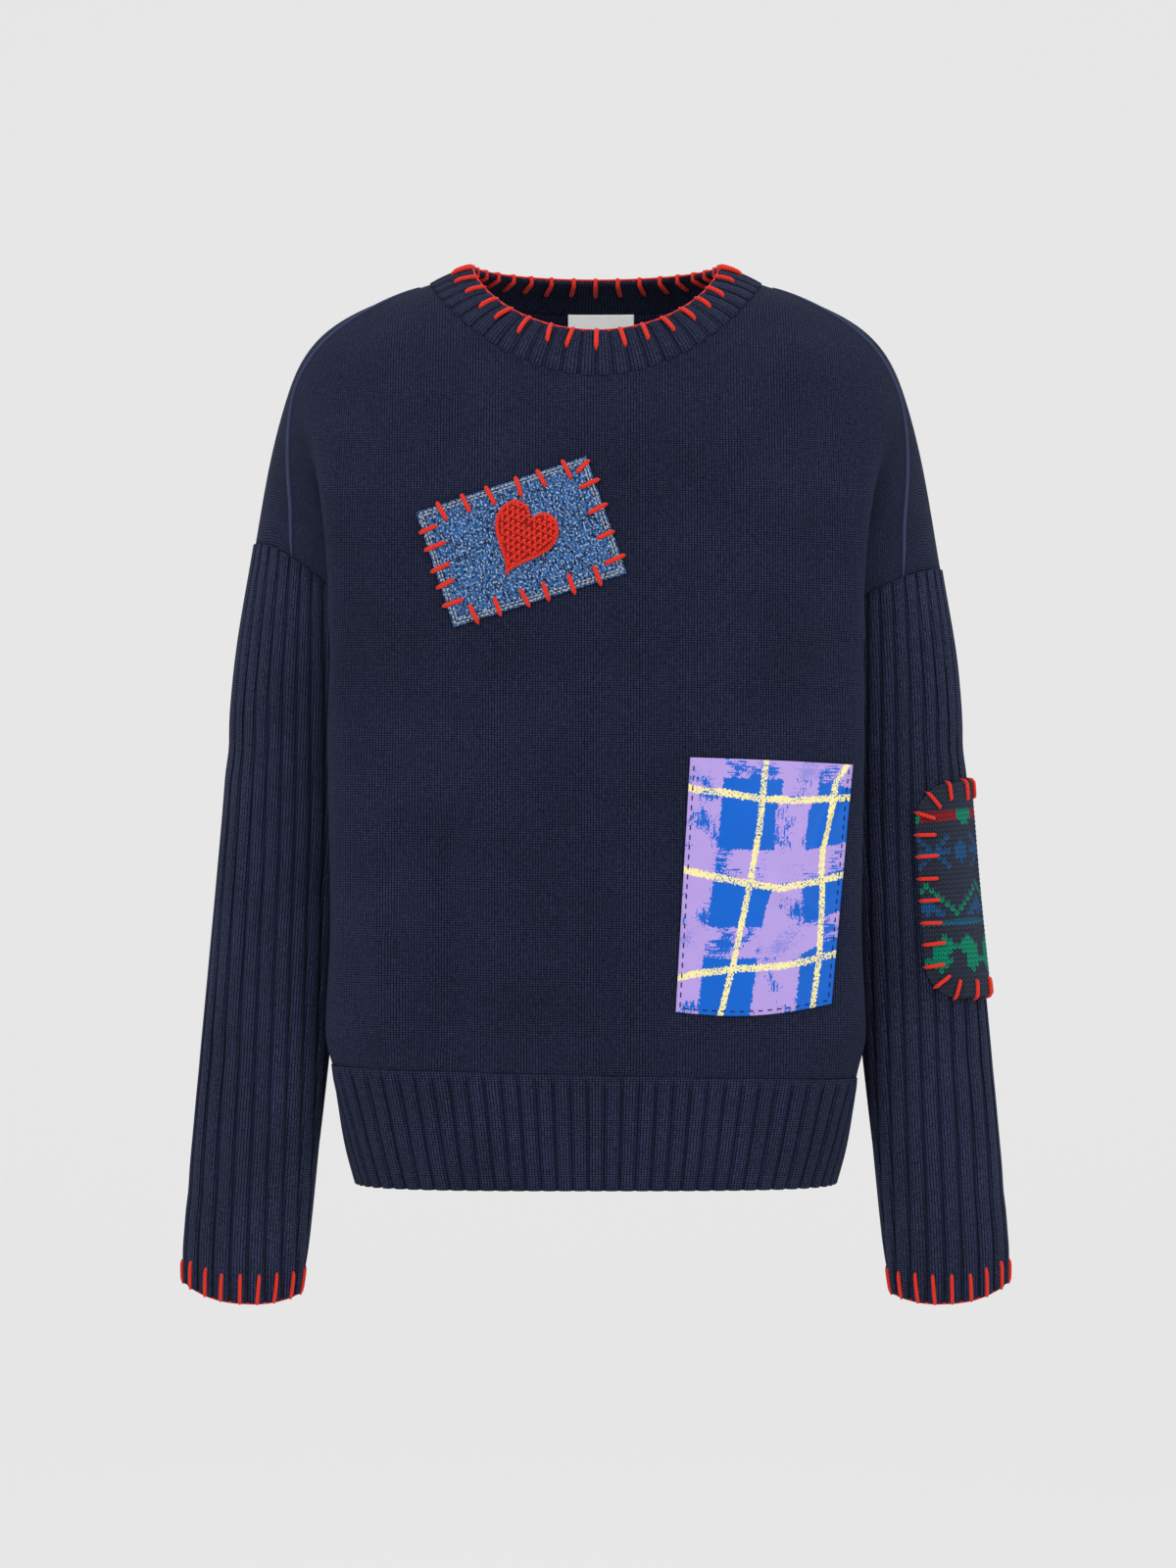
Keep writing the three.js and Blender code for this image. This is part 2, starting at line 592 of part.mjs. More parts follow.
// Elbow patch: a rounded rectangle round the outer side of the viewer's right sleeve
function elbowPatch() {
  const span = SLEEVE[SLEEVE.length - 1][0] - SLEEVE[0][0];
  const half = (ELBOW.top - ELBOW.bottom) / 2;
  const spot = (a, b) => {
    const z = mix(ELBOW.top, ELBOW.bottom, b);
    const past = Math.max(Math.abs(z - (ELBOW.top - half)) - (half - ELBOW.corner), 0);
    const trim = ELBOW.corner - Math.sqrt(Math.max(ELBOW.corner ** 2 - past ** 2, 0));
    const length = mix(ELBOW.front - trim, trim - ELBOW.back, a);
    const face = length > 0 ? -1 : 1;
    const w = (z - SLEEVE[0][0]) / span;
    const [angle] = anglesAt(1, face, w, [Math.abs(length)]);
    return { point: sleevePoint(1, face, angle, w), out: sleeveOut(1, face, angle, w) };
  };
  const closerAtEnds = (a, b) => spot(a, (1 - Math.cos(Math.PI * b)) / 2);
  return patch(14, 12, closerAtEnds, RIB_RAISE + LAY_GAP + 1, ELBOW.thick);
}

function neckLabel() {
  const spot = (a, b) => {
    const { point, out } = panelAt(1, LABEL.middle + LABEL.wide * (a - 0.5), mix(LABEL.top, LABEL.bottom, b));
    return { point, out: out.negate() };
  };
  return patch(4, 2, spot, WALL + LAY_GAP + 0.6, LABEL.thick);
}

// Colours and finishes
const finish = (color, roughness) => new THREE.MeshStandardMaterial({ color, roughness, metalness: 0 });
const NAVY = finish(0x1f2440, 0.92);
const NAVY_RIB = finish(0x1c213b, 0.92);
const PIECES = [
  ['front_panel', panel(-1), NAVY],
  ['back_panel', panel(1), NAVY],
  ['sleeve_left', sleeve(-1), NAVY_RIB],
  ['sleeve_right', sleeve(1), NAVY_RIB],
  ['neckband', neckband(), NAVY_RIB],
  ['hem_front', hem(-1), NAVY_RIB],
  ['hem_back', hem(1), NAVY_RIB],
  ['denim_patch', cornerPatch(DENIM, 8, 6), finish(0x3f5f8f, 0.85)],
  ['crochet_heart', heart(), finish(0xd8331c, 0.9)],
  ['plaid_patch', cornerPatch(PLAID, 8, 9), finish(0x8f7fd0, 0.45)],
  ['elbow_patch', elbowPatch(), finish(0x1d2335, 0.95)],
  ['neck_label', neckLabel(), finish(0xe9e9ec, 0.7)],
];

const sweater = new THREE.Group();
for (const [name, geometry, material] of PIECES) {
  const mesh = new THREE.Mesh(geometry, material);
  mesh.name = name;
  sweater.add(mesh);
}

export default sweater;
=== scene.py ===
"""A patched wool sweater: the looks of its knitted panels, ribs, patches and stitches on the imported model.

Lengths in the classes below are millimetres in the model's frame (+Z up, front to -Y, origin at the middle of
the neck), and shader lengths are metres; every mesh is written in metres. The surfaces repeat the cut of the
solids: body sections, yoke curves, sleeve tubes and neck loops, here as whole numpy arrays.
"""

import logging
from collections.abc import Callable, Sequence
from dataclasses import dataclass, field
from enum import Enum

import bpy
import numpy as np
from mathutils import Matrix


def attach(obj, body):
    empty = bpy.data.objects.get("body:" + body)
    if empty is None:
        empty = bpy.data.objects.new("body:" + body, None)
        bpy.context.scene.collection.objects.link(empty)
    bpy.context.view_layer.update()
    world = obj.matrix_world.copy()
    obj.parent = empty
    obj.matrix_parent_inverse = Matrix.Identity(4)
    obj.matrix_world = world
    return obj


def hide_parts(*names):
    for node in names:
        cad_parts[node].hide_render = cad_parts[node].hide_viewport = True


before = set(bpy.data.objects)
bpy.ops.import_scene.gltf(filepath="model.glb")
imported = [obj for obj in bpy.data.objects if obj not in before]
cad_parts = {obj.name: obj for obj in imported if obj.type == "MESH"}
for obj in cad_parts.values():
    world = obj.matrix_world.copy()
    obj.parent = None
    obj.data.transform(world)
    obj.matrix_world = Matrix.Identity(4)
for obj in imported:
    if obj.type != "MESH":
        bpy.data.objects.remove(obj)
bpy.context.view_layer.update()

log = logging.getLogger("sweater")

MM = 0.001
BODY = "root"
Array = np.ndarray


class Face(Enum):
    """Front or back of the garment, as the sign of Y."""

    FRONT = -1
    BACK = 1


class Side(Enum):
    """The viewer's left or right, as the sign of X."""

    LEFT = -1
    RIGHT = 1


# Small curves that every piece uses


def mix(a: Array | float, b: Array | float, t: Array | float) -> Array:
    """The value a share t of the way from a to b."""
    return a + (b - a) * t


def ease(t: Array | float) -> Array:
    """A smooth step from 0 to 1: 3 t squared minus 2 t cubed, with t held between 0 and 1."""
    t = np.clip(t, 0.0, 1.0)
    return t * t * (3 - 2 * t)


def bump(value: Array, at: float, wide: float) -> Array:
    """A bell curve of height 1 round a place."""
    return np.exp(-(((value - at) / wide) ** 2))


def power(value: Array, exponent: float) -> Array:
    """The value's size raised to an exponent, with its own sign."""
    return np.sign(value) * np.abs(value) ** exponent


def hermite(before: Array, a: Array, b: Array, after: Array, key: Array) -> Array:
    """A cubic through four rows of numbers, whose first number is the key.

    The slope at each inner row is the slope between its two neighbours.

    Args:
        before: the row before the stretch, with the key first, shape (..., 1 + k).
        a: the stretch's first row.
        b: its last row.
        after: the row after it.
        key: where to read, shape (...).

    Returns:
        The k values at the key.
    """
    span = b[..., :1] - a[..., :1]
    t = np.clip((key[..., None] - a[..., :1]) / span, 0.0, 1.0)
    slope_a = (b[..., 1:] - before[..., 1:]) / (b[..., :1] - before[..., :1]) * span
    slope_b = (after[..., 1:] - a[..., 1:]) / (after[..., :1] - a[..., :1]) * span
    t2, t3 = t * t, t * t * t
    start = (2 * t3 - 3 * t2 + 1) * a[..., 1:] + (t3 - 2 * t2 + t) * slope_a
    return start + (3 * t2 - 2 * t3) * b[..., 1:] + (t3 - t2) * slope_b


def smooth_rows(rows: Array, key: Array) -> Array:
    """Reads a table of rows (key first) as one smooth curve, at an array of keys."""
    rows = np.asarray(rows, float)
    rows = rows if rows[-1, 0] > rows[0, 0] else rows[::-1]
    key = np.asarray(key, float)
    i = np.clip(np.searchsorted(rows[:, 0], key, side="left") - 1, 0, len(rows) - 2)
    last = len(rows) - 1
    return hermite(rows[np.maximum(i - 1, 0)], rows[i], rows[i + 1], rows[np.minimum(i + 2, last)], key)


def sign_of(value: Array) -> Array:
    """-1 where a value is below nothing, otherwise 1."""
    return np.where(value < 0, -1.0, 1.0)


def distances(points: Array, axis: int) -> Array:
    """How far along its line each point lies, for lines of points that run along a given axis."""
    steps = np.linalg.norm(np.diff(points, axis=axis), axis=-1)
    return np.insert(np.cumsum(steps, axis=axis), 0, 0.0, axis=axis)


def keyed_by_length(points: Array) -> Array:
    """Puts the share of the length along each line of points in front of its points, shape (..., n, k)."""
    lengths = distances(points, points.ndim - 2)
    return np.concatenate([(lengths / lengths[..., -1:])[..., None], points], axis=-1)


def read_lines(tables: Array, key: Array) -> Array:
    """Reads one table (..., n, 1 + k) at each key (...), as smooth_rows does for a single table."""
    n = tables.shape[-2]
    i = np.clip((tables[..., 0] < key[..., None]).sum(-1) - 1, 0, n - 2)

    def row(j: Array) -> Array:
        """The j-th row of every table."""
        return np.take_along_axis(tables, np.clip(j, 0, n - 1)[..., None, None], axis=-2)[..., 0, :]

    return hermite(row(i - 1), row(i), row(i + 1), row(i + 2), key)


def unit(vectors: Array) -> Array:
    """Vectors made one long."""
    return vectors / np.maximum(np.linalg.norm(vectors, axis=-1, keepdims=True), 1e-12)


def grid_normals(points: Array, sign: float) -> Array:
    """Outward directions of a grid of points: the cross product of its two differences, times a sign."""
    down, across = np.gradient(points, axis=0), np.gradient(points, axis=1)
    return unit(np.cross(across, down)) * sign


@dataclass
class Cut:
    """The sweater's cut as curves and surfaces, in millimetres.

    The loops of the neck seam and edge are half width, level, depth and drop in front, the same at the back,
    and the drop's power. The body's sections are height, half width, depth in front and at the back, and
    hollow. The sleeve's rings are height, middle across and in depth, half width, half depth and slant.
    """

    neck: tuple = (118, -16, 94, 72, 88, 14, 1.7)
    edge: tuple = (88, -3, 77, 53, 62, 4, 1.25)
    shoulder: tuple = (
        (118, -16), (150, -27), (178, -40), (197, -54), (211, -73), (222, -102), (233, -145), (246, -220))
    armhole_end: dict = field(default_factory=lambda: {-1: 0.93, 1: 1.0})
    armhole_depth: float = 50
    pit_z: float = -250
    seam_forward: float = 0.37
    chest_z: float = -250
    sections: tuple = (
        (-250, 206, 118, 110, 56), (-278, 206, 118, 111, 58), (-350, 207, 117, 112, 47),
        (-450, 207, 115, 112, 34), (-547, 206, 113, 110, 20), (-576, 198, 107, 105, 14),
        (-600, 190, 104, 102, 8), (-630, 180, 101, 100, 3), (-656, 170, 98, 97, 0))
    squareness: float = 3.2
    hollow_from: float = 26
    hollow_to: float = 80
    hem_top: float = -575
    hem_slope: float = 6
    hem_bottom: float = -655
    sleeve: tuple = (
        (-227, 197, 0, 46, 50, 22), (-300, 209, -2, 47.5, 42, 12), (-400, 219, -6, 46, 38, 4),
        (-500, 229, -11, 45, 35, 2), (-610, 240, -16, 44, 31, 2), (-700, 248.5, -20, 43, 28, 3),
        (-738, 251, -21, 41, 26, 4))
    sleeve_roundness: float = 2.3
    cuff_rise: float = 9
    neck_share: float = 0.42
    chest_neck_share: float = 0.38
    neck_spread: float = 1.6
    corner_lead: float = 72
    softness: float = 0.07
    arm_folds: tuple = ((0.66, 0.05, 4), (0.76, 0.05, -6))
    arm_fold_way: tuple = (0.8, 0.6)
    neck_curve: float = 0.8
    neck_way: tuple = (0.27, -0.96)
    neck_pull: float = 50
    chest_pull: tuple = (60, 100)
    armhole_turn_from: float = 0.68
    armhole_dip_from: float = 0.7
    seam_curve: float = 0.75
    section_steps: int = 64

    def loop(self, which: tuple, side: Array, face: Array, angle: Array) -> Array:
        """A neck loop: half an ellipse in plan on each face, dropping with a power of the angle's sine."""
        half, level, front_deep, front_drop, back_deep, back_drop, curve = which
        deep = np.where(face < 0, front_deep, back_deep)
        drop = np.where(face < 0, front_drop, back_drop)
        up = np.sin(angle)
        return np.stack(np.broadcast_arrays(
            side * half * np.cos(angle), face * deep * up, level - drop * np.abs(up) ** curve), axis=-1)

    def section(self, side: Array, face: Array, share: Array, height: Array) -> Array:
        """The body's section: a squared ellipse, hollowed at the sides, read at a share of its length."""
        side, face, share, height = np.broadcast_arrays(side, face, share, height)
        half, front, back, hollow = np.moveaxis(smooth_rows(self.sections, height), -1, 0)[..., None]
        deep = np.where(face[..., None] < 0, front, back)
        angle = np.pi / 2 * (1 - ease(np.linspace(0, 1, self.section_steps + 1)))
        y = deep * power(np.sin(angle), 2 / self.squareness)
        reach = 1 - ease((y - self.hollow_from) / (self.hollow_to - self.hollow_from))
        x = np.maximum(half * power(np.cos(angle), 2 / self.squareness) - hollow * reach, 0)
        xy = read_lines(keyed_by_length(np.stack([x, y], axis=-1)), share)
        return np.stack([side * xy[..., 0], face * xy[..., 1], height], axis=-1)

    def chest_line(self, side: Array, face: Array, share: Array) -> Array:
        """The section at the chest, read from one dense table for each face."""
        side, face, share = np.broadcast_arrays(side, face, share)
        places = np.linspace(0, 1, 241)
        lines = [self.section(1.0, way, places, self.chest_z + 0 * places) for way in (-1.0, 1.0)]
        xy = [np.interp(share, places, line[:, k]) for line in lines for k in (0, 1)]
        x, y = np.where(face < 0, xy[0], xy[2]), np.where(face < 0, xy[1], xy[3])
        return np.stack([side * x, y, np.full_like(x, self.chest_z)], axis=-1)

    def column(self, u: Array) -> tuple[Array, Array, Array]:
        """A column of the body's half: its neck angle, share of the chest and share of the shoulder."""
        c = np.clip(u / self.neck_share, 0, 1)
        t = np.clip((u - self.neck_share) / (1 - self.neck_share), 0, 1)
        angle = np.pi / 2 * (1 - c)
        near = self.chest_neck_share * c**self.neck_spread
        chest = np.where(t > 0, mix(self.chest_neck_share, 1, t), near)
        return angle, chest, t

    def seam_start(self, u: Array) -> Array:
        """How far in front of the shoulder line the shoulder seam lies, as a share of the column."""
        return self.seam_forward * self.column(u)[2] ** self.seam_curve

    def yoke(self, side: Array, face: Array, u: Array, v: Array) -> Array:
        """Above the chest: a cubic Bezier from the neck seam or shoulder line down to the chest section."""
        angle, chest, t = self.column(u)
        low = self.chest_line(side, face, chest)
        at_neck = t <= 0
        down = np.abs(np.sin(angle)) ** self.neck_curve
        reach = 4 / 3 * self.armhole_depth
        way_y, way_z = self.neck_way
        neck_lead = np.stack(np.broadcast_arrays(0 * down, face * mix(1, way_y, down), way_z * down), axis=-1)
        neck_lead = unit(neck_lead) * mix(self.corner_lead, self.neck_pull, ease(down))[..., None]
        end = np.where(side < 0, self.armhole_end[-1], self.armhole_end[1])
        line = smooth_rows(keyed_by_length(np.array(self.shoulder, float)), t * end)
        on_line = np.stack([side * line[..., 0], 0 * t, line[..., 1]], axis=-1)
        line_lead = np.stack([0 * t, face * mix(self.corner_lead, reach, t), 0 * t], axis=-1)
        top = np.where(at_neck[..., None], self.loop(self.neck, side, face, angle), on_line)
        lead = np.where(at_neck[..., None], neck_lead, line_lead)
        turn = ease((chest - self.armhole_turn_from) / (1 - self.armhole_turn_from))
        low_pull, high_pull = self.chest_pull
        rise = mix(np.where(at_neck, mix(low_pull, high_pull, u / self.neck_share), high_pull), 0, turn)
        handle = low + np.stack([0 * turn, face * turn * reach, rise], axis=-1)
        w = v[..., None]
        point = ((1 - w) ** 3 * top + 3 * (1 - w) ** 2 * w * (top + lead)
                 + 3 * (1 - w) * w**2 * handle + w**3 * low)
        across = ease(v)
        near = np.clip((t - self.armhole_dip_from) / (1 - self.armhole_dip_from), 0, 1) ** 2
        point[..., 2] += (ease(across) - across) * (self.pit_z - top[..., 2]) * near
        return point

    def soft_yoke(self, side: Array, face: Array, u: Array, v: Array) -> Array:
        """The yoke averaged across its columns below the neck's corner, weighted by a raised cosine."""
        reach = self.softness * bump(u, self.neck_share, 0.2) * ease(v / 0.3) * ease((1 - v) / 0.35)
        places = np.linspace(-2.4, 2.4, 25)
        weights = 1 + np.cos(np.pi * places / 2.5)
        weights /= weights.sum()
        return sum(self.yoke(side, face, np.clip(u + place * reach, 0, 1), v) * weight
                   for place, weight in zip(places, weights))

    def body(self, side: Array, face: Array, u: Array, v: Array) -> Array:
        """Points of the body.

        Args:
            side: the side's sign.
            face: the face's sign.
            u: from 0 in the middle to 1 at the armhole or side.
            v: 0 at the top, 1 at the chest, 2 at the hem seam, below 0 over the shoulder on the other face.

        Returns:
            The points, with a last axis of three.
        """
        side, face, u, v = (np.asarray(a, float) for a in np.broadcast_arrays(side, face, u, v))
        face = np.where(v < 0, -face, face)
        v = np.abs(v)
        _, chest, _ = self.column(u)
        hem = self.hem_top - self.hem_slope * side * chest
        height = np.where(v <= 1, self.chest_z, mix(self.chest_z, hem, v - 1))
        point = np.empty((*u.shape, 3))
        above = v <= 1
        point[above] = self.soft_yoke(side[above], face[above], u[above], v[above])
        point[~above] = self.section(side[~above], face[~above], chest[~above], height[~above])
        fade = ease((v - 0.35) / 0.4) * ease((2 - v) / 0.35) * (u > self.neck_share)
        high = sum(rise * bump(chest, at, wide) for at, wide, rise in self.arm_folds)
        out = np.stack([side * self.arm_fold_way[0], face * self.arm_fold_way[1], 0 * side], axis=-1)
        return point + out * (high * fade)[..., None]

    def tube(self, side: Array, face: Array, angle: Array, z: Array) -> Array:
        """A plain ring of a sleeve: a rounded ellipse about its leaning middle line, at a height."""
        across, depth, half, deep, slant = np.moveaxis(smooth_rows(self.sleeve, z), -1, 0)
        x = across + half * power(np.cos(angle), 2 / self.sleeve_roundness)
        y = depth + face * deep * power(np.sin(angle), 2 / self.sleeve_roundness)
        return np.stack([side * x, y, z + slant * np.cos(angle)], axis=-1)

    def arm(self, side: Array, face: Array, angle: Array, w: Array) -> Array:
        """A sleeve: ellipse-like rings down a leaning line, eased from the armhole's own ring at the top."""
        side, face, angle, w = (np.asarray(a, float) for a in np.broadcast_arrays(side, face, angle, w))
        first, last = self.sleeve[0][0], self.sleeve[-1][0]
        point = self.tube(side, face, angle, mix(first, last, w))
        fade = 1 - ease(w / 0.22)
        head = fade > 0
        if head.any():
            seam = self.body(side[head], face[head], np.ones_like(w[head]), angle[head] / np.pi)
            shift = seam - self.tube(side[head], face[head], angle[head], np.full_like(w[head], first))
            point[head] += shift * fade[head][:, None]
        point[..., 2] += self.cuff_rise * np.cos(angle) ** 2 * ease((w - 0.9) / 0.1)
        return point

    def panel_at(self, face: int, x: Array, z: Array) -> tuple[Array, Array]:
        """Points of a panel from where they are seen from the front, by Newton steps on the body surface.

        Args:
            face: the face's sign.
            x: places across, any shape.
            z: places up.

        Returns:
            The body's u and v at those places, with u signed by its side.
        """
        side = sign_of(x)
        u, v = np.full(x.shape, 0.3), np.full(x.shape, 1.0)
        step = 0.004
        for _ in range(12):
            here = self.body(side, face, u, v)
            ux, uz = np.moveaxis((self.body(side, face, u + step, v) - here) / step, -1, 0)[::2]
            vx, vz = np.moveaxis((self.body(side, face, u, v + step) - here) / step, -1, 0)[::2]
            dx, dz = x - here[..., 0], z - here[..., 2]
            det = ux * vz - vx * uz
            u = np.clip(u + np.clip((dx * vz - vx * dz) / det, -0.1, 0.1), 0.001, 0.9)
            v = np.clip(v + np.clip((ux * dz - dx * uz) / det, -0.2, 0.2), 0.01, 1.95)
        return side * u, v


CUT = Cut()


@dataclass(frozen=True)
class Crease:
    """A soft trough or ridge in the cloth, along a line seen from the front, in millimetres.

    The taper says how fast it fades near an end, and the start share how far it has risen at the end itself.
    """

    start: tuple[float, float]
    end: tuple[float, float]
    wide: float
    high: float
    taper: float = 4
    start_share: float = 0.6

    def height(self, points: Array) -> Array:
        """The crease's height at points: a bell across the line that fades out a little past both ends."""
        a, b = np.array(self.start, float), np.array(self.end, float)
        along = b - a
        flat = points[..., [0, 2]] - a
        t = flat @ along / (along @ along)
        off = np.linalg.norm(flat - np.clip(t, 0, 1)[..., None] * along, axis=-1)
        ends = ease(t * self.taper + self.start_share) * ease((1 - t) * self.taper + self.start_share)
        return self.high * bump(off, 0, self.wide) * ends


FRONT_CREASES = (
    Crease((-150, -60), (-120, -190), 15, 1.6),
    Crease((150, -60), (122, -200), 15, 1.6),
    Crease((-178, -270), (-90, -420), 22, -3.0),
    Crease((178, -275), (100, -330), 20, -2.8),
    Crease((-170, -330), (-150, -540), 14, 2.0),
    Crease((168, -540), (150, -570), 14, 1.6),
    Crease((-60, -300), (-30, -540), 34, 3.2),
    Crease((40, -260), (30, -520), 34, -3.0),
    Crease((-106, -400), (-101, -575), 15, -6.5),
    Crease((-5, -440), (0, -572), 18, -2.4),
    Crease((-150, -480), (-140, -572), 12, 1.6),
    Crease((60, -545), (62, -573), 14, 1.4))
BACK_CREASES = (
    Crease((-150, -70), (-110, -230), 20, 2.0),
    Crease((150, -70), (112, -235), 20, 2.0),
    Crease((-170, -260), (-70, -430), 24, -3.4),
    Crease((170, -265), (80, -420), 24, -3.2),
    Crease((-50, -280), (-40, -560), 32, 3.2),
    Crease((60, -300), (70, -560), 30, -3.0),
    Crease((130, -450), (135, -570), 14, 1.8),
    Crease((-120, -460), (-125, -570), 14, 1.8))


def creased(points: Array, out: Array, creases: Sequence[Crease]) -> Array:
    """Points moved along their outward directions by all the creases."""
    return points + out * sum(crease.height(points) for crease in creases)[..., None]


# Meshes


class Weave:
    """Collects grids and tubes as one mesh, with a UV map in metres of cloth and a relief attribute that the
    wool shader reads to paint shade into the grooves.
    """

    def __init__(self) -> None:
        """An empty mesh."""
        self.points: list[Array] = []
        self.quads: list[Array] = []
        self.uvs: list[Array] = []
        self.groove_shade_levels: list[Array] = []
        self.count = 0

    def grid(self, points: Array, uv: Array, wrap: bool = False, flip: bool = False,
             relief: Array | float = 1.0) -> Array:
        """Adds a grid of quads.

        Args:
            points: shape (rows, columns, 3), in millimetres.
            uv: cloth coordinates of the same rows and columns, in millimetres.
            wrap: joins the last column to the first.
            flip: turns the faces round.
            relief: how far out of a hollow each point is, 0 to 1; the wool shader paints shade into the
                colour where it is low.

        Returns:
            The indices of the grid's points.
        """
        rows, columns = points.shape[:2]
        index = np.arange(rows * columns).reshape(rows, columns) + self.count
        full = np.concatenate([index, index[:, :1]], axis=1) if wrap else index
        quads = np.stack([full[:-1, :-1], full[1:, :-1], full[1:, 1:], full[:-1, 1:]], axis=-1).reshape(-1, 4)
        self.points.append(points.reshape(-1, 3))
        self.uvs.append(uv.reshape(-1, 2))
        self.groove_shade_levels.append(np.broadcast_to(relief, (rows, columns)).ravel())
        self.quads.append(quads[:, ::-1] if flip else quads)
        self.count += rows * columns
        return index

    def rim(self, a: Array, b: Array, wrap: bool = False) -> None:
        """Joins two lines of points by quads."""
        if wrap:
            a, b = np.append(a, a[0]), np.append(b, b[0])
        self.quads.append(np.stack([a[:-1], a[1:], b[1:], b[:-1]], axis=-1))

    def shell(self, outer: Array, inner: Array, uv: Array, wrap: bool = False,
              relief: Array | float = 1.0) -> None:
        """A closed wall between an outer and an inner grid, with the outer one's relief for the painted
        groove shade.
        """
        o = self.grid(outer, uv, wrap, relief=relief)
        i = self.grid(inner, uv, wrap, flip=True)
        self.rim(o[0], i[0], wrap)
        self.rim(o[-1][::-1], i[-1][::-1], wrap)
        if not wrap:
            self.rim(o[::-1, 0], i[::-1, 0])
            self.rim(o[:, -1], i[:, -1])

    def tubes(self, paths: Array, out: Array, radius: float, sides: int = 8, flat: float = 1.0) -> None:
        """Round yarns along many paths at once, with rounded ends.

        Each ring is a circle in the plane across the path, with its radius drawn in at both ends.

        Args:
            paths: shape (yarns, steps, 3), in millimetres.
            out: outward directions of the cloth under the paths, the same shape.
            radius: the yarn's radius.
            sides: points round the yarn, an even number.
            flat: height of the yarn as a share of its width.
        """
        yarns, steps = paths.shape[:2]
        along = unit(np.gradient(paths, axis=1))
        beside = unit(np.cross(along, out))
        up = np.cross(beside, along)
        t = np.linspace(-1, 1, steps)
        size = radius * np.sqrt(np.clip(1 - np.abs(t) ** 10, 0.03, 1))[None, :, None, None]
        turn = np.linspace(0, 2 * np.pi, sides, endpoint=False)[None, None, :, None]
        rings = (paths[:, :, None] + beside[:, :, None] * np.cos(turn) * size
                 + up[:, :, None] * np.sin(turn) * size * flat)
        index = np.arange(yarns * steps * sides).reshape(yarns, steps, sides) + self.count
        ahead = np.roll(index, -1, axis=2)
        quads = np.stack([index[:, :-1], ahead[:, :-1], ahead[:, 1:], index[:, 1:]], axis=-1)
        length = distances(paths, 1)[:, :, None]
        around = np.linspace(0, 2 * np.pi * radius, sides, endpoint=False)[None, None]
        self.points.append(rings.reshape(-1, 3))
        self.uvs.append(np.stack(np.broadcast_arrays(around, length), axis=-1).reshape(-1, 2))
        self.groove_shade_levels.append(np.ones(rings.size // 3))
        self.quads.append(quads.reshape(-1, 4))
        i = np.arange(sides // 2 - 1)
        cap = np.stack([i, i + 1, sides - 2 - i, sides - 1 - i], axis=-1)
        for ring in (index[:, 0, ::-1], index[:, -1]):
            self.quads.append(ring[:, cap].reshape(-1, 4))
        self.count += yarns * steps * sides

    def build(self, name: str, material: bpy.types.Material, slot: str) -> bpy.types.Object:
        """Writes the mesh, dresses it and lets it ride on the body.

        Args:
            name: the piece's name.
            material: its material.
            slot: the record's material slot; not used.

        Returns:
            The new object.
        """
        points = np.concatenate(self.points) * MM
        quads = np.concatenate(self.quads)
        uv = np.concatenate(self.uvs) * MM
        mesh = bpy.data.meshes.new(name)
        mesh.vertices.add(len(points))
        mesh.vertices.foreach_set("co", points.astype(np.float32).ravel())
        mesh.loops.add(quads.size)
        mesh.loops.foreach_set("vertex_index", quads.astype(np.int32).ravel())
        mesh.polygons.add(len(quads))
        mesh.polygons.foreach_set("loop_start", np.arange(0, quads.size, 4, dtype=np.int32))
        mesh.uv_layers.new(name="cloth").data.foreach_set("uv", uv[quads.ravel()].astype(np.float32).ravel())
        # The relief attribute: the level of painted shade in the grooves, read by the wool shader.
        relief = mesh.attributes.new("relief", "FLOAT", "POINT")
        relief.data.foreach_set("value", np.concatenate(self.groove_shade_levels).astype(np.float32))
        mesh.update(calc_edges=True)
        mesh.polygons.foreach_set("use_smooth", np.ones(len(quads), bool))
        mesh.materials.append(material)
        obj = bpy.data.objects.new(name, mesh)
        bpy.context.collection.objects.link(obj)
        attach(obj, BODY)
        log.info("%s: %d faces", name, len(quads))
        return obj


def read_uv(obj: bpy.types.Object) -> Array:
    """The cloth coordinates of a mesh's face corners, in metres."""
    uv = np.zeros(len(obj.data.loops) * 2, np.float32)
    obj.data.uv_layers["cloth"].data.foreach_get("uv", uv)
    return uv.reshape(-1, 2)


def add_colours(obj: bpy.types.Object, name: str, colours: Array) -> None:
    """Gives a mesh one colour for each face corner."""
    layer = obj.data.color_attributes.new(name, "FLOAT_COLOR", "CORNER")
    rgba = np.concatenate([colours, np.ones((len(colours), 1))], axis=1)
    layer.data.foreach_set("color", rgba.astype(np.float32).ravel())


# Shaders


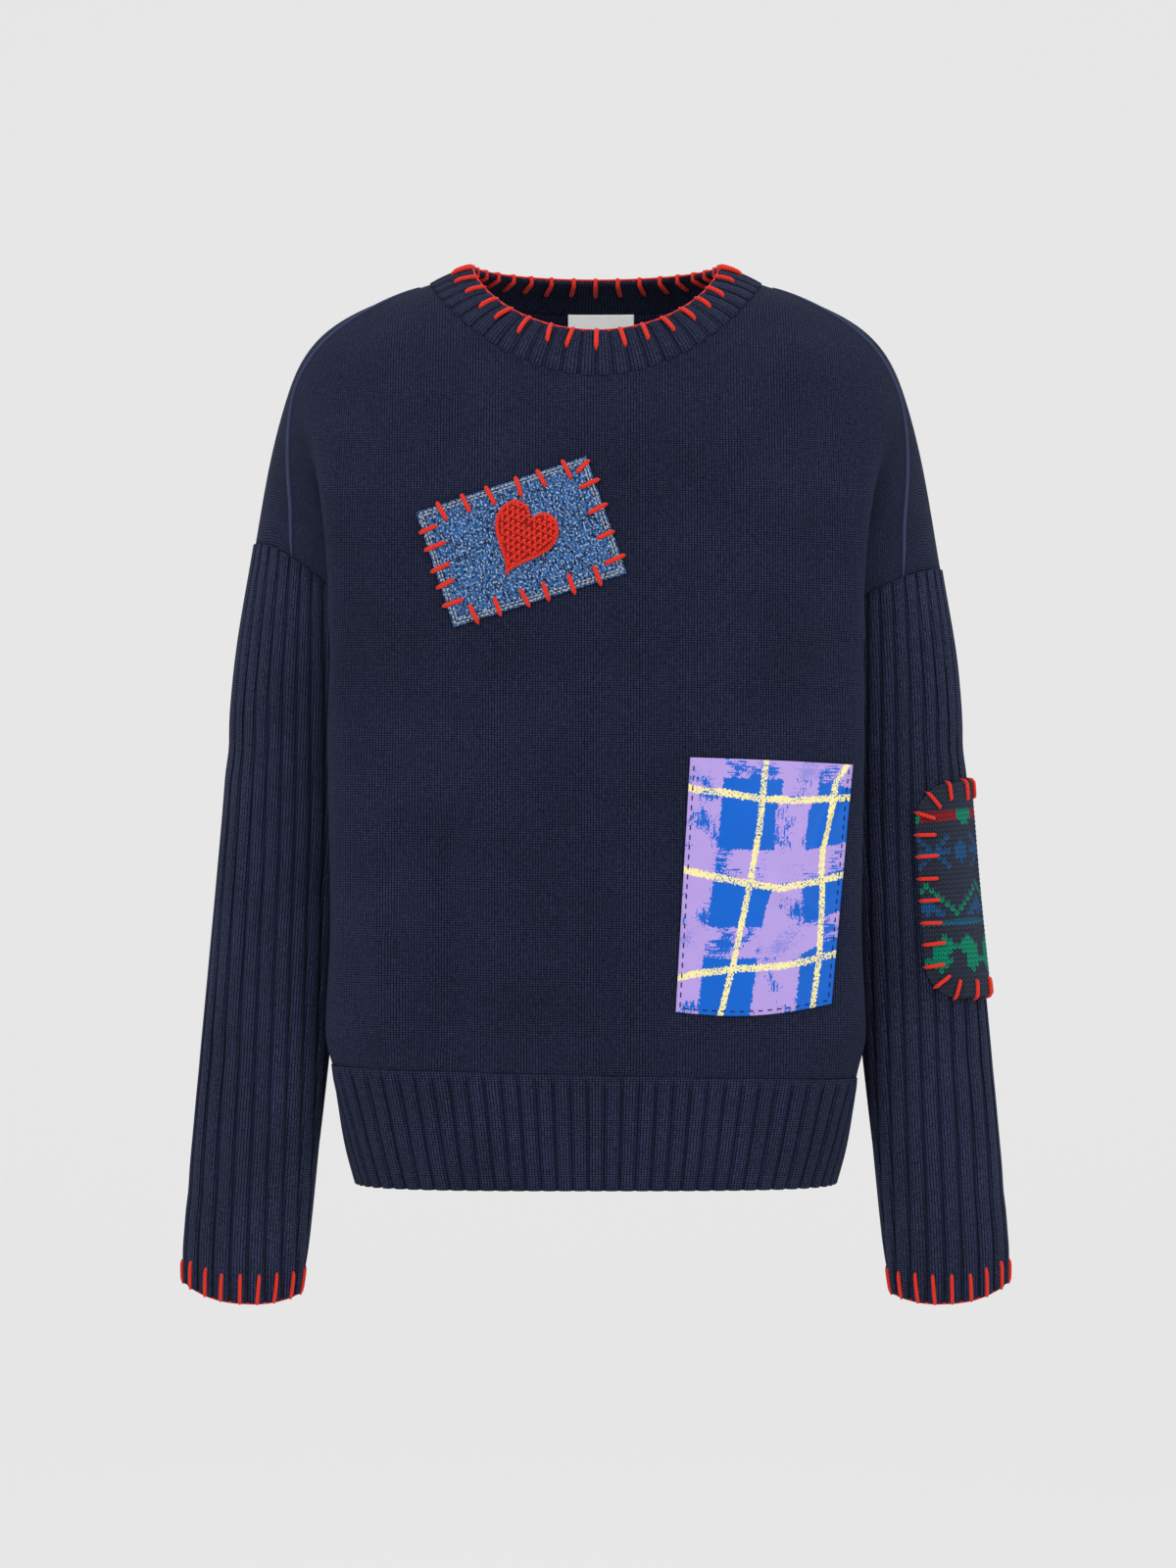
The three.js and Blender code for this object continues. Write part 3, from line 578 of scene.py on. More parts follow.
class Value:
    """A number in a shader: an output socket whose operators add Math nodes."""

    def __init__(self, paint: "Paint", socket: bpy.types.NodeSocket) -> None:
        """Wraps a socket of a material's node tree."""
        self.paint = paint
        self.socket = socket

    def math(self, operation: str, *others: "Value | float") -> "Value":
        """One Math node on this value and others."""
        inputs = dict(enumerate((self, *others)))
        return self.paint.node("ShaderNodeMath", {"operation": operation}, inputs)[0]

    def __add__(self, other: "Value | float") -> "Value":
        """Sum."""
        return self.math("ADD", other)

    __radd__ = __add__

    def __sub__(self, other: "Value | float") -> "Value":
        """Difference."""
        return self.math("SUBTRACT", other)

    def __rsub__(self, other: float) -> "Value":
        """Difference from a number."""
        return self.paint.node("ShaderNodeMath", {"operation": "SUBTRACT"}, {0: other, 1: self})[0]

    def __mul__(self, other: "Value | float") -> "Value":
        """Product."""
        return self.math("MULTIPLY", other)

    __rmul__ = __mul__

    def __truediv__(self, other: "Value | float") -> "Value":
        """Quotient."""
        return self.math("DIVIDE", other)

    def __abs__(self) -> "Value":
        """Size without the sign."""
        return self.math("ABSOLUTE")

    def __pow__(self, other: float) -> "Value":
        """Power."""
        return self.math("POWER", other)

    def __lt__(self, other: "Value | float") -> "Value":
        """1 where less than the other."""
        return self.math("LESS_THAN", other)

    def __gt__(self, other: "Value | float") -> "Value":
        """1 where more than the other."""
        return self.math("GREATER_THAN", other)

    def highest(self, other: "Value | float") -> "Value":
        """The larger of two."""
        return self.math("MAXIMUM", other)

    def fract(self) -> "Value":
        """The part after the point."""
        return self.math("FRACT")

    def sine(self) -> "Value":
        """Sine, in radians."""
        return self.math("SINE")

    def step(self, low: float, high: float) -> "Value":
        """A smooth step from 0 at low to 1 at high."""
        ramp = {"interpolation_type": "SMOOTHSTEP"}
        return self.paint.node("ShaderNodeMapRange", ramp, {0: self, 1: low, 2: high})[0]


class Paint:
    """One material being written: adds nodes and links them."""

    def __init__(self, name: str) -> None:
        """A new material with its Principled shader."""
        self.material = bpy.data.materials.new(name)
        self.material.use_nodes = True
        self.tree = self.material.node_tree
        self.shader = self.tree.nodes["Principled BSDF"]

    def node(self, kind: str, settings: dict, inputs: dict) -> list[Value]:
        """Adds one node.

        Args:
            kind: the node's type.
            settings: its settings, set first; "stops" gives a ramp's places and colours.
            inputs: values or links of its sockets, by name or number.

        Returns:
            Its outputs, wrapped.
        """
        node = self.tree.nodes.new(kind)
        for key, value in settings.items():
            if key == "stops":
                ramp = node.color_ramp
                while len(ramp.elements) < len(value):
                    ramp.elements.new(0.5)
                for element, (place, colour) in zip(ramp.elements, value):
                    element.position = place
                    element.color = (*colour, 1)
            else:
                setattr(node, key, value)
        for key, value in inputs.items():
            if isinstance(value, Value):
                self.tree.links.new(value.socket, node.inputs[key])
            else:
                node.inputs[key].default_value = value
        return [Value(self, socket) for socket in node.outputs]

    def cloth(self) -> tuple[Value, Value]:
        """The cloth's own coordinates in metres, across and along."""
        uv = self.node("ShaderNodeUVMap", {"uv_map": "cloth"}, {})[0]
        across, along, _ = self.node("ShaderNodeSeparateXYZ", {}, {0: uv})
        return across, along

    def place(self) -> Value:
        """Object coordinates."""
        return self.node("ShaderNodeTexCoord", {}, {})[3]

    def noise(self, scale: float, detail: float = 2.0, vector: Value | None = None) -> Value:
        """Soft noise, about 0.5 on average."""
        where = self.place() if vector is None else vector
        inputs = {"Vector": where, "Scale": scale, "Detail": detail}
        return self.node("ShaderNodeTexNoise", {}, inputs)[0]

    def vector(self, x: Value | float, y: Value | float, z: Value | float = 0.0) -> Value:
        """A vector from three numbers."""
        return self.node("ShaderNodeCombineXYZ", {}, {0: x, 1: y, 2: z})[0]

    def blend(self, share: Value | float, a: Value | tuple, b: Value | tuple) -> Value:
        """Two colours mixed: a at 0, b at 1."""
        a = a if isinstance(a, Value) else (*a, 1)
        b = b if isinstance(b, Value) else (*b, 1)
        return self.node("ShaderNodeMix", {"data_type": "RGBA"}, {0: share, 6: a, 7: b})[2]

    def curve(self, value: Value, stops: Sequence[tuple[float, float]]) -> Value:
        """A number read from a smooth ramp at a value between 0 and 1."""
        ramp = [(place, (level, level, level)) for place, level in stops]
        node = self.node("ShaderNodeValToRGB", {"stops": ramp}, {0: value})[0]
        return self.node("ShaderNodeSeparateColor", {}, {0: node})[0]

    def glow(self, strength: float) -> None:
        """Gives the material a faint white glow."""
        self.shader.inputs["Emission Color"].default_value = (1, 1, 1, 1)
        self.shader.inputs["Emission Strength"].default_value = strength

    def finish(self, colour: Value | tuple, roughness: Value | float, height: Value | None = None,
               strength: float = 1.0, distance: float = 0.001, sheen: float = 0.0,
               gloss: float = 0.12) -> bpy.types.Material:
        """Feeds the shader and returns the material.

        Args:
            colour: base colour.
            roughness: roughness.
            height: relief, 0 to 1.
            strength: the relief's strength.
            distance: its depth in metres.
            sheen: fuzz, the same all over.
            gloss: specular level, the same all over.

        Returns:
            The finished material.
        """
        for name, value in (("Base Color", colour), ("Roughness", roughness)):
            if isinstance(value, Value):
                self.tree.links.new(value.socket, self.shader.inputs[name])
            else:
                self.shader.inputs[name].default_value = (*value, 1) if isinstance(value, tuple) else value
        self.shader.inputs["Sheen Weight"].default_value = sheen
        self.shader.inputs["Sheen Roughness"].default_value = 0.45
        self.shader.inputs["Sheen Tint"].default_value = (0.5, 0.58, 1.0, 1.0)
        self.shader.inputs["Specular IOR Level"].default_value = gloss
        if height is not None:
            settings = {"Strength": strength, "Distance": distance, "Height": height}
            relief = self.node("ShaderNodeBump", {}, settings)[0]
            self.tree.links.new(relief.socket, self.shader.inputs["Normal"])
        return self.material


@dataclass(frozen=True)
class WoolKnit:
    """Navy wool knitting: columns of V stitches, with fuzz, heathered fibres and painted shade between the
    stitches.
    """

    name: str
    dark: tuple = (0.0012, 0.0018, 0.0085)
    light: tuple = (0.041, 0.051, 0.118)
    wale: float = 0.0020
    course: float = 0.0017
    depth: float = 0.0006

    def stitches(self, paint: Paint) -> Value:
        """Relief of the V stitches: two slanted legs in each wale, with the deepest groove between wales."""
        across, along = paint.cloth()
        wobble = paint.noise(120, 2) - 0.5
        jitter = paint.noise(420, 1) - 0.5
        a = (across / self.wale + wobble * 0.22 + jitter * 0.1).fract() - 0.5
        leg = abs(a) * 2
        c = (along / self.course + leg * 0.6 + wobble * 0.35 + jitter * 0.2).fract()
        wale = (1.0 - leg**3) * ((leg * np.pi).sine() * 0.35 + 0.65)
        return wale * ((c * np.pi).sine() * 0.6 + 0.4)

    def material(self) -> bpy.types.Material:
        """Colour from fibre noise and from the stitches' height, which paints shade between the stitches,
        with more painted shade in the rib grooves; relief from both.
        """
        paint = Paint(self.name)
        stitch = self.stitches(paint)
        fibres = paint.noise(1500, 3)
        heather = paint.noise(500, 2)
        patches = paint.noise(14, 3)
        groove_shade_factor = paint.node("ShaderNodeAttribute", {"attribute_name": "relief"}, {})[2]
        # Painted shade: the stitch term darkens the colour between stitches, and the relief attribute darkens
        # it in the rib grooves.
        share = stitch * 1.7 + (fibres - 0.5) * 1.2 + (heather - 0.5) * 0.9 + (patches - 0.5) * 0.4 - 0.76
        colour = paint.blend(share * (groove_shade_factor * 0.72 + 0.28), self.dark, self.light)
        return paint.finish(colour, 0.92, stitch + fibres * 0.4, 1.0, self.depth, 0.06)


@dataclass(frozen=True)
class Yarn:
    """Twisted yarn: diagonal plies round a tube."""

    name: str
    dark: tuple
    light: tuple
    twist: float = 0.0022
    sheen: float = 0.2

    def material(self) -> bpy.types.Material:
        """Colour and relief from the plies and loose fibres; the colour darkens in the grooves between plies
        as painted shade.
        """
        paint = Paint(self.name)
        around, along = paint.cloth()
        ply = ((along / self.twist + around / (self.twist * 1.4)).fract() * np.pi).sine()
        fibres = paint.noise(1500, 3)
        # Painted shade: the colour darkens in the grooves between the plies.
        colour = paint.blend(ply * 0.6 + fibres * 0.5 - 0.05, self.dark, self.light)
        return paint.finish(colour, 0.75, ply + fibres * 0.5, 0.8, 0.0003, self.sheen)


@dataclass(frozen=True)
class DenimCloth:
    """Washed blue denim: mottled warp with pale weft specks in a twill."""

    name: str = "washed_denim"
    deep: tuple = (0.001, 0.008, 0.036)
    blue: tuple = (0.028, 0.118, 0.33)
    pale: tuple = (0.52, 0.64, 0.84)
    half_x: float = 0.061
    half_y: float = 0.0415

    def material(self) -> bpy.types.Material:
        """Two grains of noise for the mottling, pale specks in the weft, paler at the worn edges."""
        paint = Paint(self.name)
        across, along = paint.cloth()
        warp = paint.noise(560, 3, paint.vector(across, along * 0.4))
        cross = paint.noise(800, 2, paint.vector(across, along * 0.7))
        twill = (((across + along * 0.9) / 0.0011).fract() * np.pi).sine()
        wide = paint.noise(60, 3)
        edge = (abs(across) / self.half_x).highest(abs(along) / self.half_y).step(0.95, 1.0)
        tone = (warp - 0.5) * 4.2 + 0.5 + (wide - 0.5) * 0.8 + edge * 0.1
        base = paint.blend(tone, self.deep, self.blue)
        speck = (cross + twill * 0.06).step(0.57, 0.70)
        colour = paint.blend(speck * 0.7, base, self.pale)
        return paint.finish(colour, 0.85, twill * 0.5 + warp, 0.8, 0.0003, 0.05)


@dataclass(frozen=True)
class CheckCloth:
    """Smooth printed cloth: a rough lilac and blue check under uneven yellow lines, as dry brush strokes."""

    name: str = "brushed_check"
    wide: float = 0.118
    tall: float = 0.174
    blue: tuple = (0.0, 0.1, 0.5)
    lilac: tuple = (0.43, 0.31, 0.70)
    yellow: tuple = (0.9, 0.8, 0.34)
    level_half: float = 0.0135
    upright_half: float = 0.0185
    level_lines: tuple = (
        ((0, 0.12), (0.2, 0.132), (0.45, 0.15), (0.65, 0.155), (1, 0.138)),
        ((0, 0.442), (0.2, 0.462), (0.4, 0.482), (0.6, 0.502), (0.8, 0.485), (1, 0.46)),
        ((0, 0.866), (0.12, 0.842), (0.37, 0.815), (0.7, 0.81), (1, 0.792)))
    upright_lines: tuple = (
        ((0, 0.464), (0.27, 0.45), (0.5, 0.411), (0.79, 0.346), (0.9, 0.315), (1, 0.285)),
        ((0, 0.965), (0.08, 0.9), (0.27, 0.872), (0.36, 0.854), (0.45, 0.859), (0.54, 0.876),
         (0.8, 0.891), (1, 0.875)))

    def material(self) -> bpy.types.Material:
        """Bands and lines in shares of the patch's width and height, roughened by stretched noise."""
        paint = Paint(self.name)
        across, along = paint.cloth()
        flat = paint.vector(across, along)
        rough = paint.noise(520, 4, flat) - 0.5
        speck = paint.noise(900, 4, paint.vector(across, along * 0.75, 0.3))
        upright = paint.noise(420, 3, paint.vector(across * 1.6, along * 0.22, 0.7))
        level = paint.noise(420, 3, paint.vector(across * 0.22, along * 1.6, 0.9))
        worn = paint.noise(52, 2, paint.vector(across, along, 0.5))
        a = across / self.wide
        b = along / self.tall
        ra, rb = a + rough * 0.05, b + rough * 0.034
        left = ra < paint.curve(b, ((0, 0.215), (0.4, 0.195), (0.7, 0.16), (1, 0.14)))
        middle = ra > paint.curve(b, (
            (0, 0.575), (0.14, 0.575), (0.2, 0.545), (0.5, 0.552), (0.62, 0.515), (1, 0.47)))
        middle = middle * (ra < paint.curve(b, (
            (0, 0.8), (0.13, 0.795), (0.2, 0.745), (0.5, 0.735), (0.62, 0.77), (1, 0.765))))
        slope = (a - 0.75).highest(0.0) * 0.1
        top = rb < slope + 0.072
        centre = (rb > 0.352 - slope) * (rb < 0.482 - slope * 1.9)
        low = (rb > 0.655 - slope * 1.8) * (rb < 0.775 - slope * 2.2)
        columns, rows = left.highest(middle), top.highest(centre).highest(low)
        bare = 1.125 - worn
        dry_column = (speck.highest(upright) > bare) * (1.0 - rows * 0.6)
        dry_row = speck.highest(level) > bare
        lilac = (columns * (1.0 - dry_column)).highest(rows * (1.0 - dry_row))
        depth = paint.noise(24, 2, flat)
        blue = paint.blend(depth, self.blue, tuple(1.25 * c for c in self.blue))
        print_colour = paint.blend(lilac, blue, self.lilac)

        def line(value: Value, centre_line: Value, half: float) -> Value:
            """1 within half a line's width of its centre, with a rough edge."""
            return abs(value - centre_line) < half + rough * 0.03

        lines = line(b, paint.curve(a, self.level_lines[0]), self.level_half)
        for stops in self.level_lines[1:]:
            lines = lines.highest(line(b, paint.curve(a, stops), self.level_half))
        for stops in self.upright_lines:
            lines = lines.highest(line(a, paint.curve(b, stops), self.upright_half))
        scuffed = speck > 0.585 - (worn - 0.45) * 0.35
        colour = paint.blend(lines * (1.0 - scuffed), print_colour, self.yellow)
        return paint.finish(colour, 0.36, paint.noise(2600, 1), 0.15, 0.0001, 0.0, 0.2)


@dataclass(frozen=True)
class PatternedKnit:
    """Stranded knitting whose colours come from a chart held in the mesh."""

    name: str = "stranded_knit"
    stitch: float = 0.0033

    def material(self) -> bpy.types.Material:
        """The chart's colours, scaled by painted shade that darkens the hollows between stitches and by fibre
        noise.
        """
        paint = Paint(self.name)
        across, along = paint.cloth()
        leg = abs((across / self.stitch).fract() - 0.5) * 2
        c = (along / self.stitch + leg * 0.6).fract()
        relief = ((leg * np.pi).sine() ** 0.6) * ((c * np.pi).sine() ** 0.7)
        fibres = paint.noise(1300, 3)
        chart = paint.node("ShaderNodeVertexColor", {"layer_name": "chart"}, {})[0]
        # Painted shade in the hollows between stitches, with fibre tone.
        shade = relief * 0.75 + fibres * 0.5
        shaded = paint.node("ShaderNodeVectorMath", {"operation": "SCALE"}, {0: chart, 3: shade})[0]
        return paint.finish(shaded, 0.9, relief + fibres * 0.4, 1.0, 0.0007, 0.15)


@dataclass(frozen=True)
class PlainTape:
    """White woven label tape, with a faint painted glow."""

    name: str = "label_tape"
    colour: tuple = (0.92, 0.925, 0.93)
    # Painted light: a faint white glow that brightens the label in the shade inside the neck.
    glow: float = 0.13

    def material(self) -> bpy.types.Material:
        """Near white with a fine weave, and a faint painted glow."""
        paint = Paint(self.name)
        across, along = paint.cloth()
        weave = ((across / 0.0008).fract() * np.pi).sine() * ((along / 0.0008).fract() * np.pi).sine()
        colour = paint.blend(weave * 0.2, self.colour, tuple(0.85 * c for c in self.colour))
        paint.glow(self.glow)
        return paint.finish(colour, 0.6, weave, 0.3, 0.0001)


@dataclass(frozen=True)
class PalePaper:
    """The studio's pale floor and backdrop."""

    name: str = "pale_paper"
    colour: tuple = (0.40, 0.40, 0.40)
    glow: float = 0.455

    def material(self) -> bpy.types.Material:
        """Matt, with hardly any variation, and a faint glow of its own that evens it out."""
        paint = Paint(self.name)
        colour = paint.blend(paint.noise(3, 2) * 0.02, self.colour, tuple(0.96 * c for c in self.colour))
        paint.glow(self.glow)
        return paint.finish(colour, 0.95)


PLAIN_WOOL = WoolKnit("navy_stocking_stitch")
# Lighter copies of the navy wool for the ribbed parts, the sleeves' the lightest: painted light that makes up
# for the shade in their grooves.
LIGHTENED_RIB_WOOL = WoolKnit("navy_rib", light=(0.049, 0.062, 0.137), depth=0.0005)
LIGHTENED_SLEEVE_WOOL = WoolKnit("navy_sleeve_rib", light=(0.063, 0.078, 0.165), depth=0.0005)
RED_YARN = Yarn("red_yarn", (0.40, 0.006, 0.004), (0.90, 0.045, 0.014))
# A darker red: painted shade for the hollows between the crochet stitches.
RED_SHADE = Yarn("red_yarn_painted_shade", (0.18, 0.003, 0.002), (0.40, 0.014, 0.007))
CREAM_THREAD = Yarn("cream_thread", (0.34, 0.32, 0.28), (0.78, 0.74, 0.62), 0.0009, 0.0)
NAVY_THREAD = Yarn("navy_thread", (0.006, 0.008, 0.03), (0.02, 0.03, 0.1), 0.0009, 0.0)
NAVY_YARN = Yarn("navy_linking", (0.008, 0.012, 0.034), (0.055, 0.068, 0.145), 0.0022, 0.1)


# The garment's knitted pieces


@dataclass
class Panels:
    """The plain front and back, as thin walls from the neck and shoulder seams to the hem seam."""

    columns: int = 117
    yoke_rows: int = 66
    body_rows: int = 66
    wall: float = 2.6
    calming: int = 14
    upright_to: float = 110
    turned_from: float = 170
    crease_fade: float = 30
    welt: float = 1.5
    welt_lift: float = 0.35
    welt_steps: int = 90

    def grid(self, face: int) -> tuple[Array, Array, Array]:
        """A panel's points, outward directions and cloth coordinates.

        Columns run from one armhole to the other, rows from the top edge to the hem seam. Below the top edge
        each point moves a few times towards the middle of its neighbours in the row, which evens out kinks.
        """
        half = np.linspace(0, 1, self.columns + 1)
        s = np.concatenate([-half[::-1], half[1:]])
        side, u = sign_of(s)[None], np.abs(s)[None]
        rows = np.linspace(0, 1, self.yoke_rows), np.linspace(1, 2, self.body_rows)[1:]
        rows = np.concatenate(rows)[:, None]
        start = CUT.seam_start(u) * -face
        v = np.where(rows > 1, rows, mix(start, 1, rows))
        side, u, v = np.broadcast_arrays(side, u, v)
        points = CUT.body(side, face, u, v)
        calm = ease((v - start) / 0.3)[:, 1:-1, None]
        for _ in range(self.calming):
            between = (points[:, :-2] + points[:, 2:]) / 2
            points[:, 1:-1] = mix(points[:, 1:-1], between, 0.5 * calm)
        out = grid_normals(points, face)
        across = self.across(points)
        along = distances(points[::-1], 0)[::-1]
        return points, out, np.stack([across, along], axis=-1)

    def across(self, points: Array) -> Array:
        """Distance from the middle column along each row.

        In the middle only the steps along x count, so that the wales stand upright. Past the neck's corners
        the whole step counts more and more.
        """
        steps = np.diff(points, axis=1)
        x = np.abs(points[:, 1:, 0] + points[:, :-1, 0]) / 2
        share = ease((x - self.upright_to) / (self.turned_from - self.upright_to))
        widths = np.sqrt(steps[..., 0] ** 2 + share * (steps[..., 1] ** 2 + steps[..., 2] ** 2))
        reach = np.insert(np.cumsum(widths, axis=1), 0, 0.0, axis=1)
        return reach - reach[:, self.columns : self.columns + 1]

    def build(self) -> None:
        """Both panels."""
        material = PLAIN_WOOL.material()
        for face, node, creases, flat, area in (
                (Face.FRONT, "front_panel", FRONT_CREASES, (0.60, 0.60), 0.315),
                (Face.BACK, "back_panel", BACK_CREASES, (0.60, 0.66), 0.37)):
            points, out, uv = self.grid(face.value)
            loose = ease((points[..., 2:] - CUT.hem_top) / self.crease_fade)
            points = mix(points, creased(points, out, creases), loose)
            mesh = Weave()
            mesh.shell(points, points - out * self.wall, uv)
            obj = mesh.build(f"knitted_{node}", material, "plain_knit")
            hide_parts(node)

    def welts(self) -> None:
        """The linked shoulder seams, as slim raised lines."""
        mesh = Weave()
        for side in (-1, 1):
            t = np.linspace(0.03, 1, self.welt_steps)
            u = mix(CUT.neck_share, 1, t)
            v = CUT.seam_start(u)
            line = CUT.body(side, -1, u, v)
            ahead = CUT.body(side, -1, u, v + 0.01) - line
            out = unit(np.cross(np.gradient(line, axis=0), ahead)) * -side
            out *= np.sign((out * np.array([side, -1, 1.0])).sum(-1, keepdims=True))
            mesh.tubes((line + out * self.welt_lift)[None], out[None], self.welt, flat=0.8)
        mesh.build("shoulder_welts", NAVY_YARN.material(), "plain_knit")


@dataclass
class Rib:
    """A rib's profile: a flat crest between narrow grooves."""

    raised: float = 1.5
    sunk: float = 0.7
    groove: float = 0.13

    def share(self, phase: Array) -> Array:
        """How far out of the groove a place is: 1 less a bell at each groove."""
        off = np.abs((phase + 0.5) % 1 - 0.5)
        return 1 - np.exp(-((off / self.groove) ** 2))

    def height(self, phase: Array) -> Array:
        """Height over the cloth: from a little sunk in the groove to raised, with a slight dome."""
        off = np.abs((phase + 0.5) % 1 - 0.5)
        dome = 0.88 + 0.12 * np.cos(np.pi * (1 - 2 * off)) ** 2
        return mix(-self.sunk, self.raised, self.share(phase)) * dome


RIB = Rib()
RIB_WALL = 2.2


@dataclass
class Sleeves:
    """Two ribbed sleeves whose ribs widen towards the cuff and end at the underarm seam."""

    around: int = 132
    rows: int = 84
    wall: float = RIB_WALL
    pitch_top: float = 9.8
    pitch_cuff: float = 12.4
    bends: tuple = (
        (205, -330, 262, -352, 16, 1.6), (240, -430, 190, -455, 14, 1.5),
        (270, -560, 225, -585, 15, 1.3), (232, -640, 285, -668, 14, 1.1))

    def grid(self, side: int) -> tuple[Array, Array, Array, Array]:
        """A sleeve's plain points, outward directions, cloth coordinates and rib phase."""
        half = np.linspace(0, np.pi, self.around + 1)
        angle = np.concatenate([half, half[::-1][1:-1]])[None]
        face = np.concatenate([np.full(self.around + 1, -1.0), np.full(self.around - 1, 1.0)])[None]
        w = np.linspace(0, 1, self.rows)[:, None]
        points = CUT.arm(side, face, angle, w)
        padded = np.concatenate([points[:, -1:], points, points[:, :1]], axis=1)
        out = grid_normals(padded, side)[:, 1:-1]
        lengths = distances(padded[:, 1:], 1)
        whole = lengths[:, -1:]
        under = lengths[:, self.around][:, None]
        far = lengths[:, :-1]
        distance = np.where(far <= under, far, whole - far)
        pitch = mix(self.pitch_top, self.pitch_cuff, w)
        uv = np.stack([distance, distances(points, 0)], axis=-1)
        return points, out, uv, distance / pitch

    def creases(self, side: int) -> list[Crease]:
        """Soft bends of a hanging sleeve at the elbow and above the cuff."""
        return [Crease((side * x0, z0), (side * x1, z1), wide, -deep)
                for x0, z0, x1, z1, wide, deep in self.bends]

    def build(self) -> None:
        """Both sleeves."""
        material = LIGHTENED_SLEEVE_WOOL.material()
        for side, node in ((Side.LEFT, "sleeve_left"), (Side.RIGHT, "sleeve_right")):
            points, out, uv, phase = self.grid(side.value)
            points = creased(points, out, self.creases(side.value))
            outer = points + out * RIB.height(phase)[..., None]
            mesh = Weave()
            # The ribs' share out of the groove sets the painted shade in the grooves.
            mesh.shell(outer, points - out * self.wall, uv, True, RIB.share(phase))
            obj = mesh.build(f"ribbed_{node}", material, "rib_knit")
            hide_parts(node)


@dataclass
class Neckband:
    """The ribbed ring round the neck, with its rounded edge."""

    ribs: int = 60
    per_rib: int = 8
    rows: int = 12
    wall: float = RIB_WALL
    bulge: float = 1.4
    low_rib: float = 0.8
    rib_pitch: float = 9.7
    # How light the colour stays in the rib grooves under their painted shade.
    painted_groove_light: float = 0.1

    def surface(self, turn: Array, h: Array) -> Array:
        """Straight from seam to edge, bowed outwards in the middle."""
        side = sign_of(np.cos(turn))
        face = np.where(np.sin(turn) > 0, 1.0, -1.0)
        angle = np.arcsin(np.clip(np.abs(np.sin(turn)), 0, 1))
        low = CUT.loop(CUT.neck, side, face, angle)
        high = CUT.loop(CUT.edge, side, face, angle)
        out = unit(np.stack(np.broadcast_arrays(np.cos(turn), np.sin(turn), 1.0 + 0 * h), axis=-1))
        return mix(low, high, h[..., None]) + out * (self.bulge * 4 * h * (1 - h))[..., None]

    def grid(self) -> tuple[Array, Array, Array]:
        """Points, outward directions and turn of the band."""
        turn = np.linspace(0, 2 * np.pi, self.ribs * self.per_rib, endpoint=False)[None]
        h = np.linspace(0, 1, self.rows)[:, None]
        turn, h = np.broadcast_arrays(turn, h)
        points = self.surface(turn, h)
        padded = np.concatenate([points[:, -2:], points, points[:, :2]], axis=1)
        return points, grid_normals(padded, 1)[:, 2:-2], turn

    def build(self) -> None:
        """The band."""
        points, out, turn = self.grid()
        phase = turn / (2 * np.pi) * self.ribs
        outer = points + out * (RIB.height(phase) * self.low_rib)[..., None]
        uv = np.stack([phase * self.rib_pitch, distances(points, 0)], axis=-1)
        mesh = Weave()
        # Painted shade in the rib grooves, down to the painted groove light level.
        light = mix(self.painted_groove_light, 1, RIB.share(phase))
        mesh.shell(outer, points - out * self.wall, uv, True, light)
        obj = mesh.build("ribbed_neckband", LIGHTENED_RIB_WOOL.material(), "rib_knit")
        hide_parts("neckband")


@dataclass
class HemBand:
    """The ribbed hem in a front and a back piece."""

    ribs: int = 43
    per_rib: int = 8
    rows: int = 18
    wall: float = RIB_WALL
    rib_pitch: float = 11
    seam_gap: float = 0.6
    seam_rise: float = 0.35

    def build(self) -> None:
        """Both pieces."""
        material = LIGHTENED_RIB_WOOL.material()
        for face, node in ((Face.FRONT, "hem_front"), (Face.BACK, "hem_back")):
            s = np.linspace(-1, 1, self.ribs * self.per_rib + 1)[None]
            h = np.linspace(0, 1, self.rows)[:, None]
            height = mix(CUT.hem_top - CUT.hem_slope * s + self.seam_gap, CUT.hem_bottom, h)
            side = sign_of(s) + 0 * h
            points = CUT.section(side, face.value, np.abs(s) + 0 * h, height)
            out = grid_normals(points, face.value)
            phase = (s + 1) / 2 * self.ribs + 0 * h
            fade = ease(h * 10)
            away = RIB.height(phase) * fade + self.seam_rise * (1 - fade)
            outer = points + out * away[..., None]
            uv = np.stack([phase * self.rib_pitch, height + 0 * s], axis=-1)
            mesh = Weave()
            # Painted shade in the rib grooves, fading out towards the hem seam.
            mesh.shell(outer, points - out * self.wall, uv, relief=mix(1, RIB.share(phase), fade))
            obj = mesh.build(f"ribbed_{node}", material, "rib_knit")
            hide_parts(node)


# Patches


